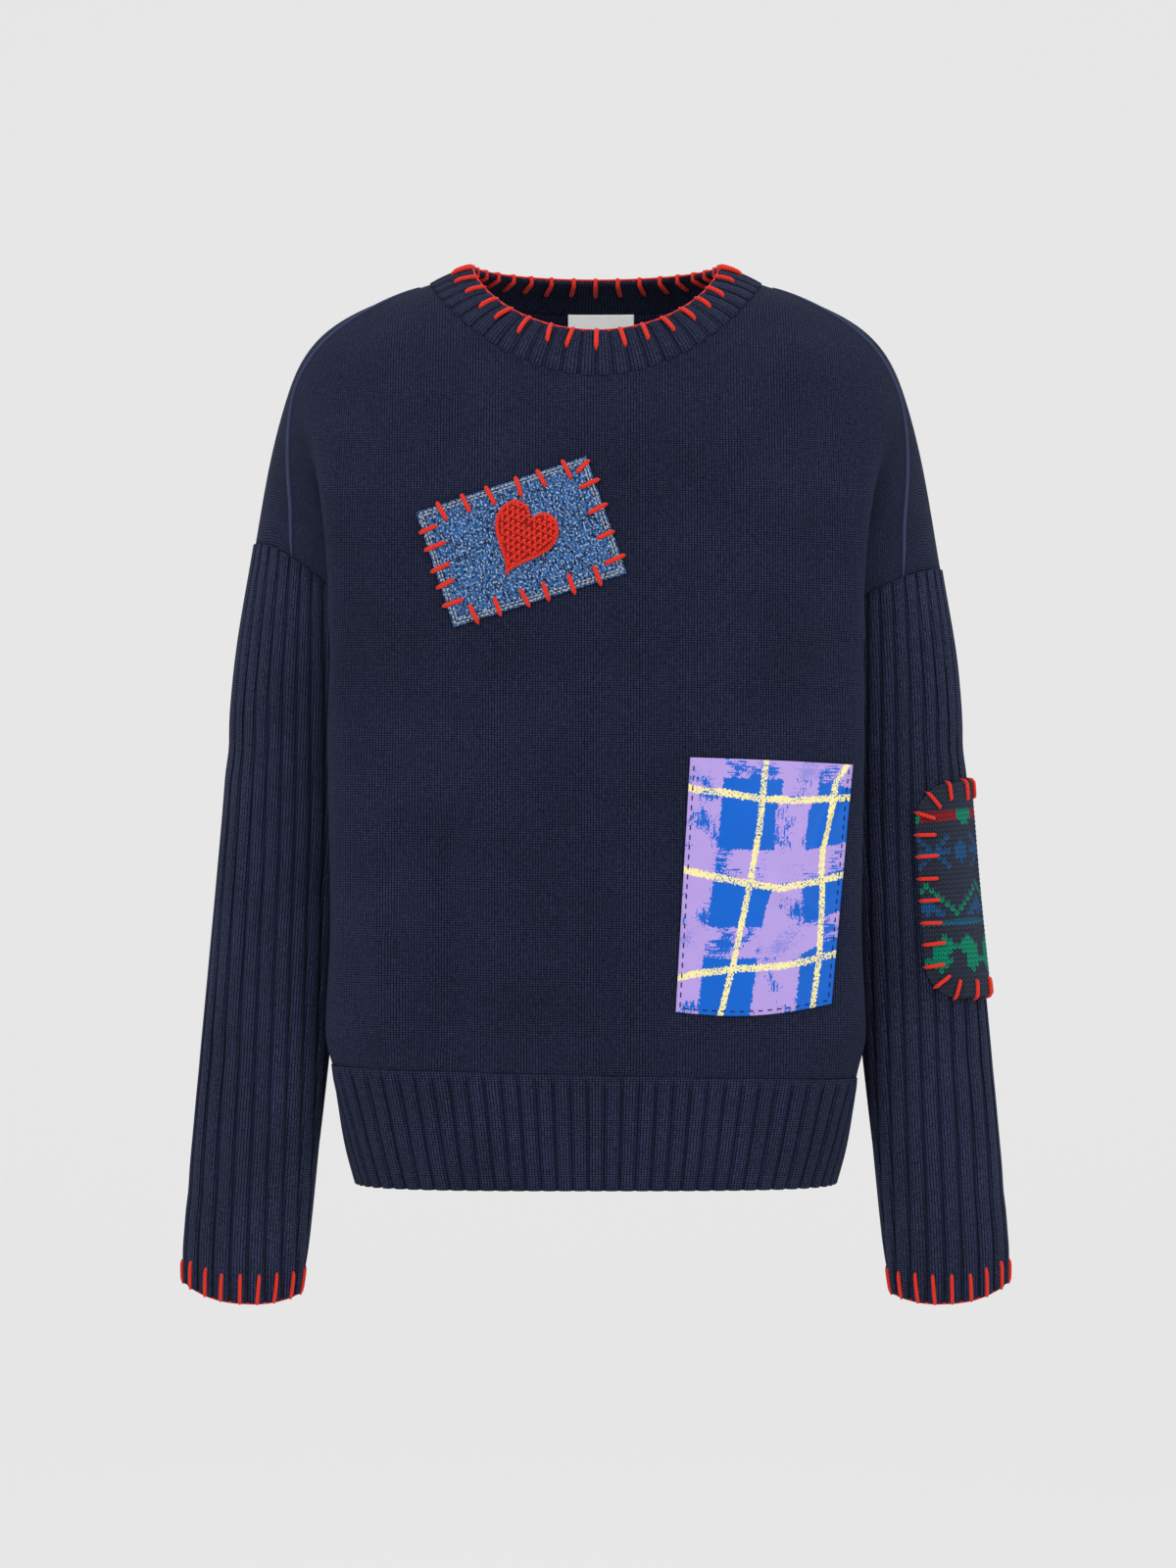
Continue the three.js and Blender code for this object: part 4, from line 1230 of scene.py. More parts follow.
@dataclass
class FrontPatch:
    """A four-cornered patch on the front, with its corners as seen, clockwise from the top left."""

    corners: tuple
    lift: float
    thick: float
    columns: int
    rows: int
    wide: float
    tall: float

    def place(self, a: Array, b: Array) -> tuple[Array, Array]:
        """Seen place of a share across and a share down the patch."""
        top_left, top_right, low_right, low_left = self.corners
        seen = [mix(mix(top_left[k], top_right[k], a), mix(low_left[k], low_right[k], a), b) for k in (0, 1)]
        return seen[0], seen[1]

    def points(self, a: Array, b: Array) -> tuple[Array, Array]:
        """Points of the cloth under the patch and their outward directions."""
        return on_front(*self.place(a, b))

    def ripples(self, a: Array, b: Array) -> Array:
        """How far the patch stands off the cloth, besides its lift."""
        return 0 * a * b

    def shell(self, name: str, material: bpy.types.Material, slot: str) -> bpy.types.Object:
        """The patch as a thin wall."""
        a, b = np.meshgrid(np.linspace(0, 1, self.columns), np.linspace(0, 1, self.rows))
        points, out = self.points(a, b)
        away = (self.lift + self.ripples(a, b))[..., None]
        uv = np.stack([a * self.wide, b * self.tall], axis=-1)
        mesh = Weave()
        mesh.shell(points + out * (away + self.thick), points + out * away, uv)
        return mesh.build(name, material, slot)

    def seam(self, inset: float, pitch: float, stitch: float) -> list[Array]:
        """Where the stitches of a seam near the edge start and end.

        Args:
            inset: the seam's distance from the edge.
            pitch: from one stitch's start to the next one's.
            stitch: a stitch's length.

        Returns:
            For the top, right, bottom and left side: shares across and down, shape (2, stitches, 2).
        """
        ia, ib = inset / self.wide, inset / self.tall
        corners = np.array([(ia, ib), (1 - ia, ib), (1 - ia, 1 - ib), (ia, 1 - ib), (ia, ib)])
        sides = []
        for start, end in zip(corners[:-1], corners[1:]):
            length = np.hypot(*((end - start) * (self.wide, self.tall)))
            first = np.linspace(0, 1, int(length / pitch), endpoint=False)
            sides.append(mix(start, end, np.stack([first, first + stitch / length])[..., None]))
        return sides


@dataclass
class FrontMap:
    """The front worked out once on a square grid of places seen from the front, then read between them."""

    x_range: tuple = (-136, 190)
    z_range: tuple = (-545, -130)
    step: float = 4
    tables: Array | None = None

    def fill(self) -> None:
        """Works out the front's points and outward directions over the grid."""
        xs = np.arange(self.x_range[0], self.x_range[1] + self.step, self.step)
        zs = np.arange(self.z_range[0], self.z_range[1] + self.step, self.step)
        x, z = np.meshgrid(xs.astype(float), zs.astype(float))
        signed, v = CUT.panel_at(-1, x, z)
        side, u = sign_of(signed), np.abs(signed)
        delta = 0.004
        by_u = CUT.body(side, -1, u + delta, v) - CUT.body(side, -1, np.maximum(u - delta, 0), v)
        by_v = CUT.body(side, -1, u, v + delta) - CUT.body(side, -1, u, v - delta)
        out = unit(np.cross(by_u, by_v)) * -side[..., None]
        self.tables = np.concatenate([CUT.body(side, -1, u, v)[..., 1:2], out], axis=-1)

    def read(self, x: Array, z: Array) -> tuple[Array, Array]:
        """Points and outward directions at places, by straight steps between the grid's four nearest."""
        if self.tables is None:
            self.fill()
        rows, columns = self.tables.shape[:2]
        i = np.clip((x - self.x_range[0]) / self.step, 0, columns - 1.001)
        j = np.clip((z - self.z_range[0]) / self.step, 0, rows - 1.001)
        i0, j0 = i.astype(int), j.astype(int)
        fi, fj = (i - i0)[..., None], (j - j0)[..., None]
        low = mix(self.tables[j0, i0], self.tables[j0, i0 + 1], fi)
        high = mix(self.tables[j0 + 1, i0], self.tables[j0 + 1, i0 + 1], fi)
        value = mix(low, high, fj)
        return np.stack([x, value[..., 0], z], axis=-1), unit(value[..., 1:])


FRONT_MAP = FrontMap()


def on_front(x: Array, z: Array) -> tuple[Array, Array]:
    """Points of the creased front under places seen from the front, and their outward directions."""
    points, out = FRONT_MAP.read(x, z)
    return creased(points, out, FRONT_CREASES), out


def stitch_paths(start: Array, end: Array, out: Array, radius: float, steps: int) -> Array:
    """Yarn from start to end: it comes up through the cloth, lies on it and goes down into it again."""
    t = np.linspace(0, 1, steps)[None, :, None]
    rise = radius * (1.15 - 1.9 * np.abs(2 * t - 1) ** 8)
    return mix(start[:, None], end[:, None], t) + out[:, None] * rise


@dataclass
class DenimPatch(FrontPatch):
    """Blue denim with two rows of topstitching, held by red overcast stitches, and a crochet heart on it."""

    corners: tuple = ((-124, -185), (-7, -146), (21, -227), (-98, -264))
    lift: float = 0.8
    thick: float = 1.3
    columns: int = 90
    rows: int = 66
    wide: float = 122
    tall: float = 83
    yarn: float = 1.6
    top: tuple = (0.13, 0.28, 0.42, 0.585, 0.725, 0.87)
    right: tuple = (0.22, 0.43, 0.64, 0.86)
    bottom: tuple = (0.13, 0.27, 0.42, 0.55, 0.7, 0.84)
    left: tuple = (0.17, 0.33, 0.5, 0.655, 0.81)
    reach_in: float = 12
    reach_out: float = 3
    jitter: float = 0.006
    sink: float = 0.8
    corner_stitch: tuple = ((1.02, 0.03), (0.92, 0.11))
    seam_insets: tuple = (1.7, 3.7)
    seam_pitch: float = 3.3
    seam_stitch: float = 2.9
    thread: float = 0.4

    def build(self) -> None:
        """The cloth, its topstitching, its red stitches and the heart."""
        obj = self.shell("denim_rectangle", DenimCloth().material(), "denim")
        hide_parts("denim_patch")
        flat = read_uv(obj) - np.array([self.wide, self.tall]) * MM / 2
        obj.data.uv_layers["cloth"].data.foreach_set("uv", flat.astype(np.float32).ravel())
        self.topstitch()
        self.red_stitches()
        CrochetHeart().build(self.lift + self.thick)

    def on_patch(self, a: Array, b: Array) -> tuple[Array, Array]:
        """Points on top of the patch and their outward directions."""
        points, out = self.points(a, b)
        return points + out * (self.lift + self.thick), out

    def topstitch(self) -> None:
        """Two rows of short cream stitches near the edge."""
        mesh = Weave()
        for inset in self.seam_insets:
            for ends in self.seam(inset, self.seam_pitch, self.seam_stitch):
                self.stitches(mesh, ends, self.thread, 5, 6)
        mesh.build("denim_topstitch", CREAM_THREAD.material(), "denim")

    def stitches(self, mesh: Weave, ends: Array, radius: float, steps: int, sides: int,
                 sink: float = 0) -> None:
        """Adds straight stitches on top of the patch.

        Args:
            mesh: collects them.
            ends: where they start and end, as shares across and down, shape (2, stitches, 2).
            radius: the thread's radius.
            steps: rings along each.
            sides: points round each.
            sink: how far their start lies below the top.
        """
        (start, end), (out, _) = self.on_patch(ends[..., 0], ends[..., 1])
        paths = stitch_paths(start - out * sink, end, out, radius, steps)
        mesh.tubes(paths, np.repeat(out[:, None], steps, axis=1), radius, sides)

    def red_stitches(self) -> None:
        """Red yarn over the edge at listed shares of each side, and slanted at one corner."""
        rng = np.random.default_rng(4)
        inward_a, inward_b = self.reach_in / self.wide, self.reach_in / self.tall
        out_a, out_b = self.reach_out / self.wide, self.reach_out / self.tall
        lines = [((f, -out_b), (f + 0.01, inward_b)) for f in self.top]
        lines += [((1 + out_a, f), (1 - inward_a, f + 0.02)) for f in self.right]
        lines += [((f, 1 + out_b), (f - 0.005, 1 - inward_b)) for f in self.bottom]
        lines += [((-out_a, f), (inward_a, f - 0.02)) for f in self.left]
        lines.append(self.corner_stitch)
        lines = np.array(lines) + rng.normal(0, self.jitter, (len(lines), 2, 2))
        mesh = Weave()
        self.stitches(mesh, np.moveaxis(lines, 1, 0), self.yarn, 9, 8, self.thick * self.sink)
        mesh.build("denim_red_stitches", RED_YARN.material(), "red_yarn")


@dataclass
class CrochetHeart:
    """A thick crochet heart: rows of V stitches on a domed base of darker red, which is painted shade in the
    holes between them, with a twisted chain round its edge.
    """

    middle: tuple = (-52, -205)
    wide: float = 44
    tall: float = 50
    tilt: float = 0.42
    thick: float = 1.9
    around: int = 160
    rings: int = 16
    stitch: float = 4.1
    row: float = 4.3
    yarn: float = 1.0
    area: float = 0.00134
    round_edge: float = 4
    margin: float = 2.2
    jitter: float = 0.18
    leg_spread: float = 0.56
    leg_gap: float = 0.25
    leg_bow: float = 0.35
    leg_up: float = 0.62
    leg_down: float = 0.42
    chain_inset: float = 0.955
    chain_turn: float = 5.2
    chain_yarn: float = 0.9
    chain_wide: float = 0.8
    chain_high: float = 0.7
    chain_lift: float = 1.5

    def outline(self, t: Array) -> Array:
        """The common heart curve, across and up from the heart's middle."""
        up = (13 * np.cos(t) - 5 * np.cos(2 * t) - 2 * np.cos(3 * t) - np.cos(4 * t) + 2.5) / 14.5
        return np.stack([self.wide / 2 * np.sin(t) ** 3, self.tall / 2 * up], axis=-1)

    def place(self, flat: Array) -> tuple[Array, Array]:
        """Points of the front under places in the heart's own plane, and their outward directions."""
        c, s = np.cos(self.tilt), np.sin(self.tilt)
        x = self.middle[0] + flat[..., 0] * c + flat[..., 1] * s
        z = self.middle[1] + flat[..., 1] * c - flat[..., 0] * s
        return on_front(x, z)

    def rim(self) -> Array:
        """Points on the outline, the last one the same as the first."""
        return self.outline(np.linspace(0, 2 * np.pi, 200))

    def from_edge(self, flat: Array) -> Array:
        """Distance from the outline."""
        return np.linalg.norm(flat[..., None, :] - self.rim(), axis=-1).min(-1)

    def dome(self, flat: Array) -> Array:
        """Height of the base: the thickness times the root of the distance from the edge, up to a limit."""
        return self.thick * np.sqrt(np.clip(self.from_edge(flat) / self.round_edge, 0.02, 1))

    def inside(self, flat: Array, margin: float) -> Array:
        """Which places lie inside the outline, a margin or more from it, by counting edges to their right."""
        (ax, ay), (bx, by) = self.rim()[:-1].T, self.rim()[1:].T
        x, y = flat[:, 0:1], flat[:, 1:2]
        rise = np.where(by == ay, 1e-9, by - ay)
        crosses = ((ay > y) != (by > y)) & (x < (bx - ax) * (y - ay) / rise + ax)
        return (crosses.sum(1) % 2 == 1) & (self.from_edge(flat) > margin)

    def build(self, base: float) -> None:
        """The base, as a darker red sheet of painted shade under the stitches, its V stitches and the chain
        round it.
        """
        t = np.linspace(0, 2 * np.pi, self.around, endpoint=False)
        ring = np.linspace(0.004, 1, self.rings)[:, None, None]
        flat = self.outline(t)[None] * ring
        points, out = self.place(flat)
        mesh = Weave()
        top = points + out * (base + 0.3 + self.dome(flat))[..., None]
        # The base is darker red: painted shade in the holes between the stitches.
        mesh.shell(top, points + out * (base + 0.15), flat, wrap=True, relief=0.2)
        obj = mesh.build("crochet_base", RED_SHADE.material(), "red_yarn")
        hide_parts("crochet_heart")
        stitches = Weave()
        self.legs(stitches, base)
        self.chain(stitches, base)
        stitches.build("crochet_stitches", RED_YARN.material(), "red_yarn")

    def legs(self, mesh: Weave, base: float) -> None:
        """Two legs for each stitch, apart above and close below, every second row shifted by half a one."""
        rows = np.arange(-8, 8)
        columns = np.arange(-8, 9)
        across = (columns[None] + 0.5 * (rows[:, None] % 2)) * self.stitch
        up = rows[:, None] * self.row + 0 * across
        middles = np.stack([across.ravel(), up.ravel()], axis=-1)
        middles = middles[self.inside(middles, self.margin)]
        middles += np.random.default_rng(2).normal(0, self.jitter, middles.shape)
        share = np.linspace(0, 1, 6)[None, :]
        for way in (-1, 1):
            bow = self.leg_bow * np.sin(np.pi * share)
            x = middles[:, :1] + way * (mix(self.stitch * self.leg_spread, self.leg_gap, share) + bow)
            y = middles[:, 1:] + mix(self.row * self.leg_up, -self.row * self.leg_down, share)
            flat = np.stack([x, y + 0 * x], axis=-1)
            points, out = self.place(flat)
            lift = base + 0.4 + self.dome(flat) + self.yarn * (0.9 - 1.3 * np.abs(2 * share - 1) ** 4)
            mesh.tubes(points + out * lift[..., None], out, self.yarn, 6)

    def chain(self, mesh: Weave, base: float) -> None:
        """Two strands wound round the edge line."""
        t = np.linspace(0, 2 * np.pi, 361)
        line = self.outline(t) * self.chain_inset
        length = distances(line, 0)
        turns = np.round(length[-1] / self.chain_turn)
        inward = -unit(line - np.array([0, 2.0]))
        for phase in (0, np.pi):
            wind = 2 * np.pi * turns * length / length[-1] + phase
            flat = line + inward * (np.cos(wind) * self.chain_wide)[:, None]
            points, out = self.place(flat)
            path = points + out * (base + self.chain_lift + self.chain_high * np.sin(wind))[:, None]
            mesh.tubes(path[None], out[None], self.chain_yarn, 6)


@dataclass
class CheckPatch(FrontPatch):
    """The smooth check patch low on the front, with soft puckers and a dark running stitch."""

    corners: tuple = ((65, -354), (178, -359), (163, -525), (55, -530))
    lift: float = 0.8
    thick: float = 0.6
    columns: int = 110
    rows: int = 160
    wide: float = 118
    tall: float = 174
    slack: float = 0.4
    pucker: float = 0.63
    bows: tuple = (-0.5, 5.0)
    seam_inset: float = 3.0
    seam_pitch: float = 6.6
    seam_stitch: float = 4.6
    thread: float = 0.42

    def place(self, a: Array, b: Array) -> tuple[Array, Array]:
        """The corners' place, with the top edge bowed up a little and the bottom edge bowed down."""
        x, z = super().place(a, b)
        bow = np.sin(np.pi * np.clip(a, 0, 1))
        return x, z - bow * mix(*self.bows, b)

    def ripples(self, a: Array, b: Array) -> Array:
        """Puckers that run in from the sewn sides, three soft folds and a low swell in the middle."""
        inside = np.clip(np.minimum(np.minimum(a, 1 - a) * 8, np.minimum(b, 1 - b) * 11), 0, 1)
        edge = np.sin(b * 46 + np.sin(b * 9) * 2) * np.exp(-np.minimum(a, 1 - a) / 0.07) * self.pucker
        from_corner = bump(a + (b - 0.12) * 0.55, 0.93, 0.03) * ease((0.42 - b) / 0.3) * 3.04
        upper = bump(b - a * 0.35, 0.3, 0.035) * bump(a, 0.62, 0.16) * 2.08
        lower = bump(b + a * 0.25, 0.66, 0.03) * bump(a, 0.1, 0.12) * 1.76
        swell = 0.8 * np.sin(np.pi * a) * np.sin(np.pi * b)
        return self.slack + inside * (edge + from_corner + upper + lower + swell)

    def build(self) -> None:
        """The cloth and its running stitch."""
        obj = self.shell("check_rectangle", CheckCloth().material(), "check_cloth")
        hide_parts("plaid_patch")
        mesh = Weave()
        share = np.linspace(0, 1, 6)
        dip = 0.25 - 0.75 * np.abs(2 * share - 1) ** 6
        for first, last in self.seam(self.seam_inset, self.seam_pitch, self.seam_stitch)[1:]:
            a, b = np.moveaxis(mix(first[:, None], last[:, None], share[:, None]), -1, 0)
            points, out = self.points(a, b)
            away = self.lift + self.ripples(a, b) + self.thick + dip
            mesh.tubes(points + out * away[..., None], out, self.thread, 6, 0.7)
        mesh.build("check_running_stitch", NAVY_THREAD.material(), "check_cloth")


@dataclass
class ElbowPatch:
    """A dark stranded-knit patch with rounded corners round the outer side of the right sleeve."""

    front: float = 62
    back: float = 58
    top: float = -375
    bottom: float = -525
    corner: float = 26
    lift: float = 2.1
    thick: float = 2.2
    stitch: float = 3.3
    per_stitch: int = 4
    yarn: float = 1.4
    count: int = 32
    ends: tuple = (-1.8, 13.5)
    jitter: float = 0.8
    arm_middle: tuple = (225, -10)
    chart_light: float = 1.25
    colours: dict = field(default_factory=lambda: {
        ".": (0.024, 0.031, 0.05), "r": (0.26, 0.012, 0.014), "g": (0.0, 0.24, 0.13),
        "b": (0.012, 0.085, 0.22), "t": (0.01, 0.11, 0.19)})
    chart: tuple = (
        "............",
        "............",
        "............",
        "............",
        "............",
        "............",
        "rrrrrrggggrr",
        "rrrrrrggggrr",
        ".......gg...",
        "............",
        "............",
        "b.....b.....",
        ".b...b...b..",
        "..b.b...bbb.",
        "bbbbbbb.bbb.",
        "..b.b...bbb.",
        ".b...b...b..",
        "b.....b.....",
        "............",
        "............",
        "............",
        ".....g......",
        "....g.g.....",
        "...g...g....",
        "..g..b..g...",
        ".g..bbb..g..",
        "g..bbbbb..g.",
        "..bb.b.bb..g",
        "............",
        "tttttttttttt",
        "............",
        "............",
        "..g......g..",
        ".ggg....ggg.",
        "ggggg..ggggg",
        ".gggg..gggg.",
        "..ggg..ggg..",
        ".ggggggggg..",
        "..ggg..ggg..",
        "...g....g...",
        "............",
        "............",
        "............",
        "............",
        "............",
        "............",
    )

    def angles(self, w: Array, length: Array) -> tuple[Array, Array]:
        """The sleeve's face and angle at lengths round it from its outer side, positive to the front."""
        angle = np.linspace(0, np.pi, 97)
        w = np.asarray(w, float)
        face = np.where(length >= 0, -1.0, 1.0)
        ring = CUT.arm(1.0, face[..., None], angle, w[..., None])
        far = distances(ring, ring.ndim - 2)
        table = np.stack([far, np.broadcast_to(angle, far.shape)], axis=-1)
        return face, read_lines(table, np.abs(length))[..., 0]

    def points(self, length: Array, z: Array) -> tuple[Array, Array]:
        """Points of the plain sleeve under the patch, and their outward directions."""
        w = (z - CUT.sleeve[0][0]) / (CUT.sleeve[-1][0] - CUT.sleeve[0][0])
        face, angle = self.angles(w, length)
        here = CUT.arm(1.0, face, angle, w)
        step = 0.01
        turn = CUT.arm(1.0, face, angle + step, w) - CUT.arm(1.0, face, np.abs(angle - step), w)
        down = CUT.arm(1.0, face, angle, w + step) - CUT.arm(1.0, face, angle, w - step)
        out = unit(np.cross(turn, down)) * -face[..., None]
        x, y = self.arm_middle
        middle = np.stack([x + 0 * z, y + 0 * z, z], axis=-1)
        return here, out * np.sign((out * (here - middle)).sum(-1, keepdims=True))

    def trim(self, z: Array) -> Array:
        """How much the rounded corners take off each side at a height."""
        half = (self.top - self.bottom) / 2
        past = np.maximum(np.abs(z - (self.top - half)) - (half - self.corner), 0)
        return self.corner - np.sqrt(np.maximum(self.corner**2 - past**2, 0))

    def build(self) -> None:
        """The patch with its relief of stitches, its chart colours and its red stitches."""
        columns = int((self.front + self.back) / self.stitch) * self.per_stitch
        rows = int((self.top - self.bottom) / self.stitch) * self.per_stitch
        b = np.linspace(0, 1, rows)[:, None]
        b = mix(b, (1 - np.cos(np.pi * b)) / 2, 0.35)
        z = mix(self.top, self.bottom, b)
        trim = self.trim(z)
        length = mix(self.front - trim, trim - self.back, np.linspace(0, 1, columns)[None])
        z = z + 0 * length
        points, out = self.points(length, z)
        leg = np.abs((length / self.stitch) % 1 - 0.5) * 2
        c = (-z / self.stitch + leg * 0.6) % 1
        relief = 0.55 * np.sin(np.pi * leg) ** 0.6 * np.sin(np.pi * c) ** 0.7
        wave = 0.5 * np.sin(length / 11) * np.sin(z / 17)
        away = self.lift + self.thick + wave + relief
        uv = np.stack([length, -z], axis=-1)
        mesh = Weave()
        mesh.shell(points + out * away[..., None], points + out * self.lift, uv)
        obj = mesh.build("elbow_knit", PatternedKnit().material(), "patterned_knit")
        faces = read_uv(obj).reshape(-1, 4, 2).astype(float).mean(axis=1) / MM
        slant = np.abs((faces[:, 0] / self.stitch) % 1 - 0.5) * 2 * 0.6
        column = np.floor(faces[:, 0] / self.stitch).astype(int)
        row = np.floor((faces[:, 1] + self.top) / self.stitch + slant).astype(int)
        chart = np.array([[self.colours[cell] for cell in line] for line in self.chart])
        picked = chart[np.clip(row, 0, len(self.chart) - 1), column % len(self.chart[0])]
        add_colours(obj, "chart", np.repeat(picked * self.chart_light, 4, axis=0))
        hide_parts("elbow_patch")
        self.red_stitches()

    def outline(self, count: int) -> tuple[Array, Array, Array, Array]:
        """Places on the rounded outline and the way in from it, for stitches evenly along it.

        Args:
            count: how many stitches.

        Returns:
            Lengths round the sleeve, heights, and the way in's two parts.
        """
        r = self.corner
        right, top, left, bottom = self.front - r, self.top - r, r - self.back, self.bottom + r
        corners = np.array([(right, top), (left, top), (left, bottom), (right, bottom)])[:, None]
        turn = np.arange(4)[:, None] * np.pi / 2 + np.linspace(0, np.pi / 2, 12)
        line = (corners + r * np.stack([np.cos(turn), np.sin(turn)], axis=-1)).reshape(-1, 2)
        line = np.concatenate([line, line[:1]])
        table = keyed_by_length(line)
        t = (np.arange(count) + 0.5) / count
        at = np.stack([np.interp(t, table[:, 0], line[:, k]) for k in (0, 1)], axis=-1)
        near = np.stack([np.interp((t + 0.004) % 1, table[:, 0], line[:, k]) for k in (0, 1)], axis=-1)
        along = unit(near - at)
        inward = np.stack([-along[:, 1], along[:, 0]], axis=-1)
        return at[:, 0], at[:, 1], inward[:, 0], inward[:, 1]

    def red_stitches(self) -> None:
        """Red yarn from just outside the edge inwards, all round."""
        x, z, ix, iz = (part[:, None] for part in self.outline(self.count))
        jitter = np.random.default_rng(7).normal(0, self.jitter, (2, len(x)))[..., None]
        share = np.linspace(0, 1, 9)
        reach = mix(*self.ends, share)
        points, out = self.points(x + ix * reach + jitter[0] * share, z + iz * reach + jitter[1] * share)
        base = mix(self.lift - 1.2, self.lift + self.thick + 0.5, ease((share - 0.02) / 0.16))
        away = base + self.yarn * (1.0 - 1.7 * np.abs(2 * share - 1) ** 8)
        mesh = Weave()
        mesh.tubes(points + out * away[:, None], out, self.yarn)
        mesh.build("elbow_red_stitches", RED_YARN.material(), "red_yarn")


@dataclass
class NeckLabel:
    """The blank label inside the back neck."""

    middle: float = 4
    wide: float = 49
    top: float = -34
    bottom: float = -58
    raised: float = 5.5
    lift: float = 3.4
    thick: float = 0.6

    def build(self) -> None:
        """A small sheet on the inside of the back."""
        a, b = np.meshgrid(np.linspace(0, 1, 40), np.linspace(0, 1, 20))
        x = self.middle + self.wide * (a - 0.5)
        z = mix(self.top, self.bottom, b)
        signed, v = CUT.panel_at(1, x, z)
        side, u = sign_of(signed), np.abs(signed)
        points = CUT.body(side, 1, u, v)
        out = grid_normals(points, 1)
        out *= np.sign(out[..., 1:2])
        inner = points - out * self.lift + np.array([0, -self.raised * 0.45, self.raised])
        mesh = Weave()
        mesh.shell(inner - out * self.thick, inner, np.stack([x, z], axis=-1))
        obj = mesh.build("blank_label", PlainTape().material(), "label_tape")
        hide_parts("neck_label")


# Blanket stitch on the edges


@dataclass
class EdgeStitches:
    """Red blanket stitch: strokes over an edge on both sides of the cloth, and a cord along the edge.

    Its places are given by a function of shares round the edge and of a reach in from it, which returns
    points and outward directions. The strokes' numbers are the yarn's radius, the strokes round the edge,
    their length outside and inside, the share of the ribs' height that they lie at, and the cloth's wall.
    """

    yarn: float = 1.65
    count: int = 34
    reach: float = 16.5
    back: float = 15.5
    on_rib: float = 0.4
    wall: float = RIB_WALL
    cord: float = 0.8
    cord_steps: int = 240
    cord_in: float = 0.2
    cord_up: float = 0.7

    def sew(self, name: str, place: Callable) -> None:
        """Makes the strokes and the cord of one edge.

        Each stroke goes from the cloth's outer side over the edge to its inner side. The cord is one closed
        yarn whose ends meet.

        Args:
            name: the piece's name.
            place: gives the cloth's places, as told above.
        """
        rng = np.random.default_rng(self.count)
        t = ((np.arange(self.count) + 0.5 + rng.normal(0, 0.03, self.count)) / self.count)[:, None]
        lean = (rng.normal(0, 0.08, self.count) / self.count)[:, None]
        size = (1 + rng.normal(0, 0.05, self.count))[:, None]
        share = np.linspace(0, 1, 9)
        here, out = place(t + lean * (1 - share), self.reach * size * (1 - share))
        away = RIB.raised * self.on_rib + self.yarn * (1.0 - 1.9 * (1 - share) ** 10 - 0.55 * share**6)
        outer = here + out * away[:, None]
        share = np.linspace(0.08, 1, 7)
        here, under = place(t + 0 * share, self.back * size * share)
        inner = here - under * (self.wall + self.yarn * (1.0 - 1.9 * share**10))[:, None]
        mesh = Weave()
        mesh.tubes(np.concatenate([outer, inner], axis=1), np.concatenate([out, -under], axis=1), self.yarn)
        t = np.linspace(0, 1, self.cord_steps, endpoint=False)
        here, out = place(t, np.zeros_like(t))
        line = here - out * self.cord_in + np.array([0, 0, self.cord_up])
        loop, around = (np.concatenate([part, part[:2]]) for part in (line, out))
        mesh.tubes(loop[None], around[None], self.cord)
        mesh.build(name, RED_YARN.material(), "red_yarn")


@dataclass
class NeckStitches(EdgeStitches):
    """Blanket stitch round the neckband's edge; the height is the band's, from seam to edge."""

    height: float = 34
    step: float = 0.01

    def build(self) -> None:
        """Strokes and cord on the neckband."""
        band = Neckband()

        def place(t: Array, reach: Array) -> tuple[Array, Array]:
            """A place on the band, from its edge down, and its outward direction."""
            turn = 2 * np.pi * t
            h = 1 - reach / self.height
            step = self.step
            here = band.surface(turn, h)
            by_turn = band.surface(turn + step, h) - band.surface(turn - step, h)
            by_h = band.surface(turn, h + step) - band.surface(turn, h - step)
            return here, unit(np.cross(by_turn, by_h))

        self.sew("neck_blanket_stitch", place)


@dataclass
class CuffStitches(EdgeStitches):
    """Blanket stitch round both cuffs, in thinner yarn."""

    yarn: float = 1.3
    count: int = 18
    reach: float = 22
    back: float = 14
    on_rib: float = 0.55
    cord_steps: int = 200
    cord_in: float = 0.9
    cord_up: float = -0.25
    step: float = 0.02
    cuff_middle: tuple = (250, -21)

    def build(self) -> None:
        """Strokes and cord on each cuff."""
        span = CUT.sleeve[0][0] - CUT.sleeve[-1][0]
        x, y = self.cuff_middle
        for side, name in ((-1, "left"), (1, "right")):
            angle = np.linspace(0, 2 * np.pi, 361)
            rim = CUT.arm(side, sign_of(angle - np.pi), np.minimum(angle, 2 * np.pi - angle), 1.0)
            shares = keyed_by_length(rim)[:, 0]

            def place(t: Array, reach: Array) -> tuple[Array, Array]:
                """A place on the cuff, from its edge up, and its outward direction."""
                turn = np.interp(t % 1, shares, angle)
                face = sign_of(turn - np.pi)
                half = np.minimum(turn, 2 * np.pi - turn)
                w = 1 - reach / span
                here = CUT.arm(side, face, half, w)
                by_turn = (CUT.arm(side, face, np.minimum(half + self.step, np.pi), w)
                           - CUT.arm(side, face, np.maximum(half - self.step, 0), w))
                by_w = CUT.arm(side, face, half, w - self.step) - here
                out = unit(np.cross(by_turn, by_w))
                middle = np.stack([side * x + 0 * t, y + 0 * t, here[..., 2]], axis=-1)
                return here, out * np.sign((out * (here - middle)).sum(-1, keepdims=True))

            self.sew(f"cuff_blanket_stitch_{name}", place)


# Studio


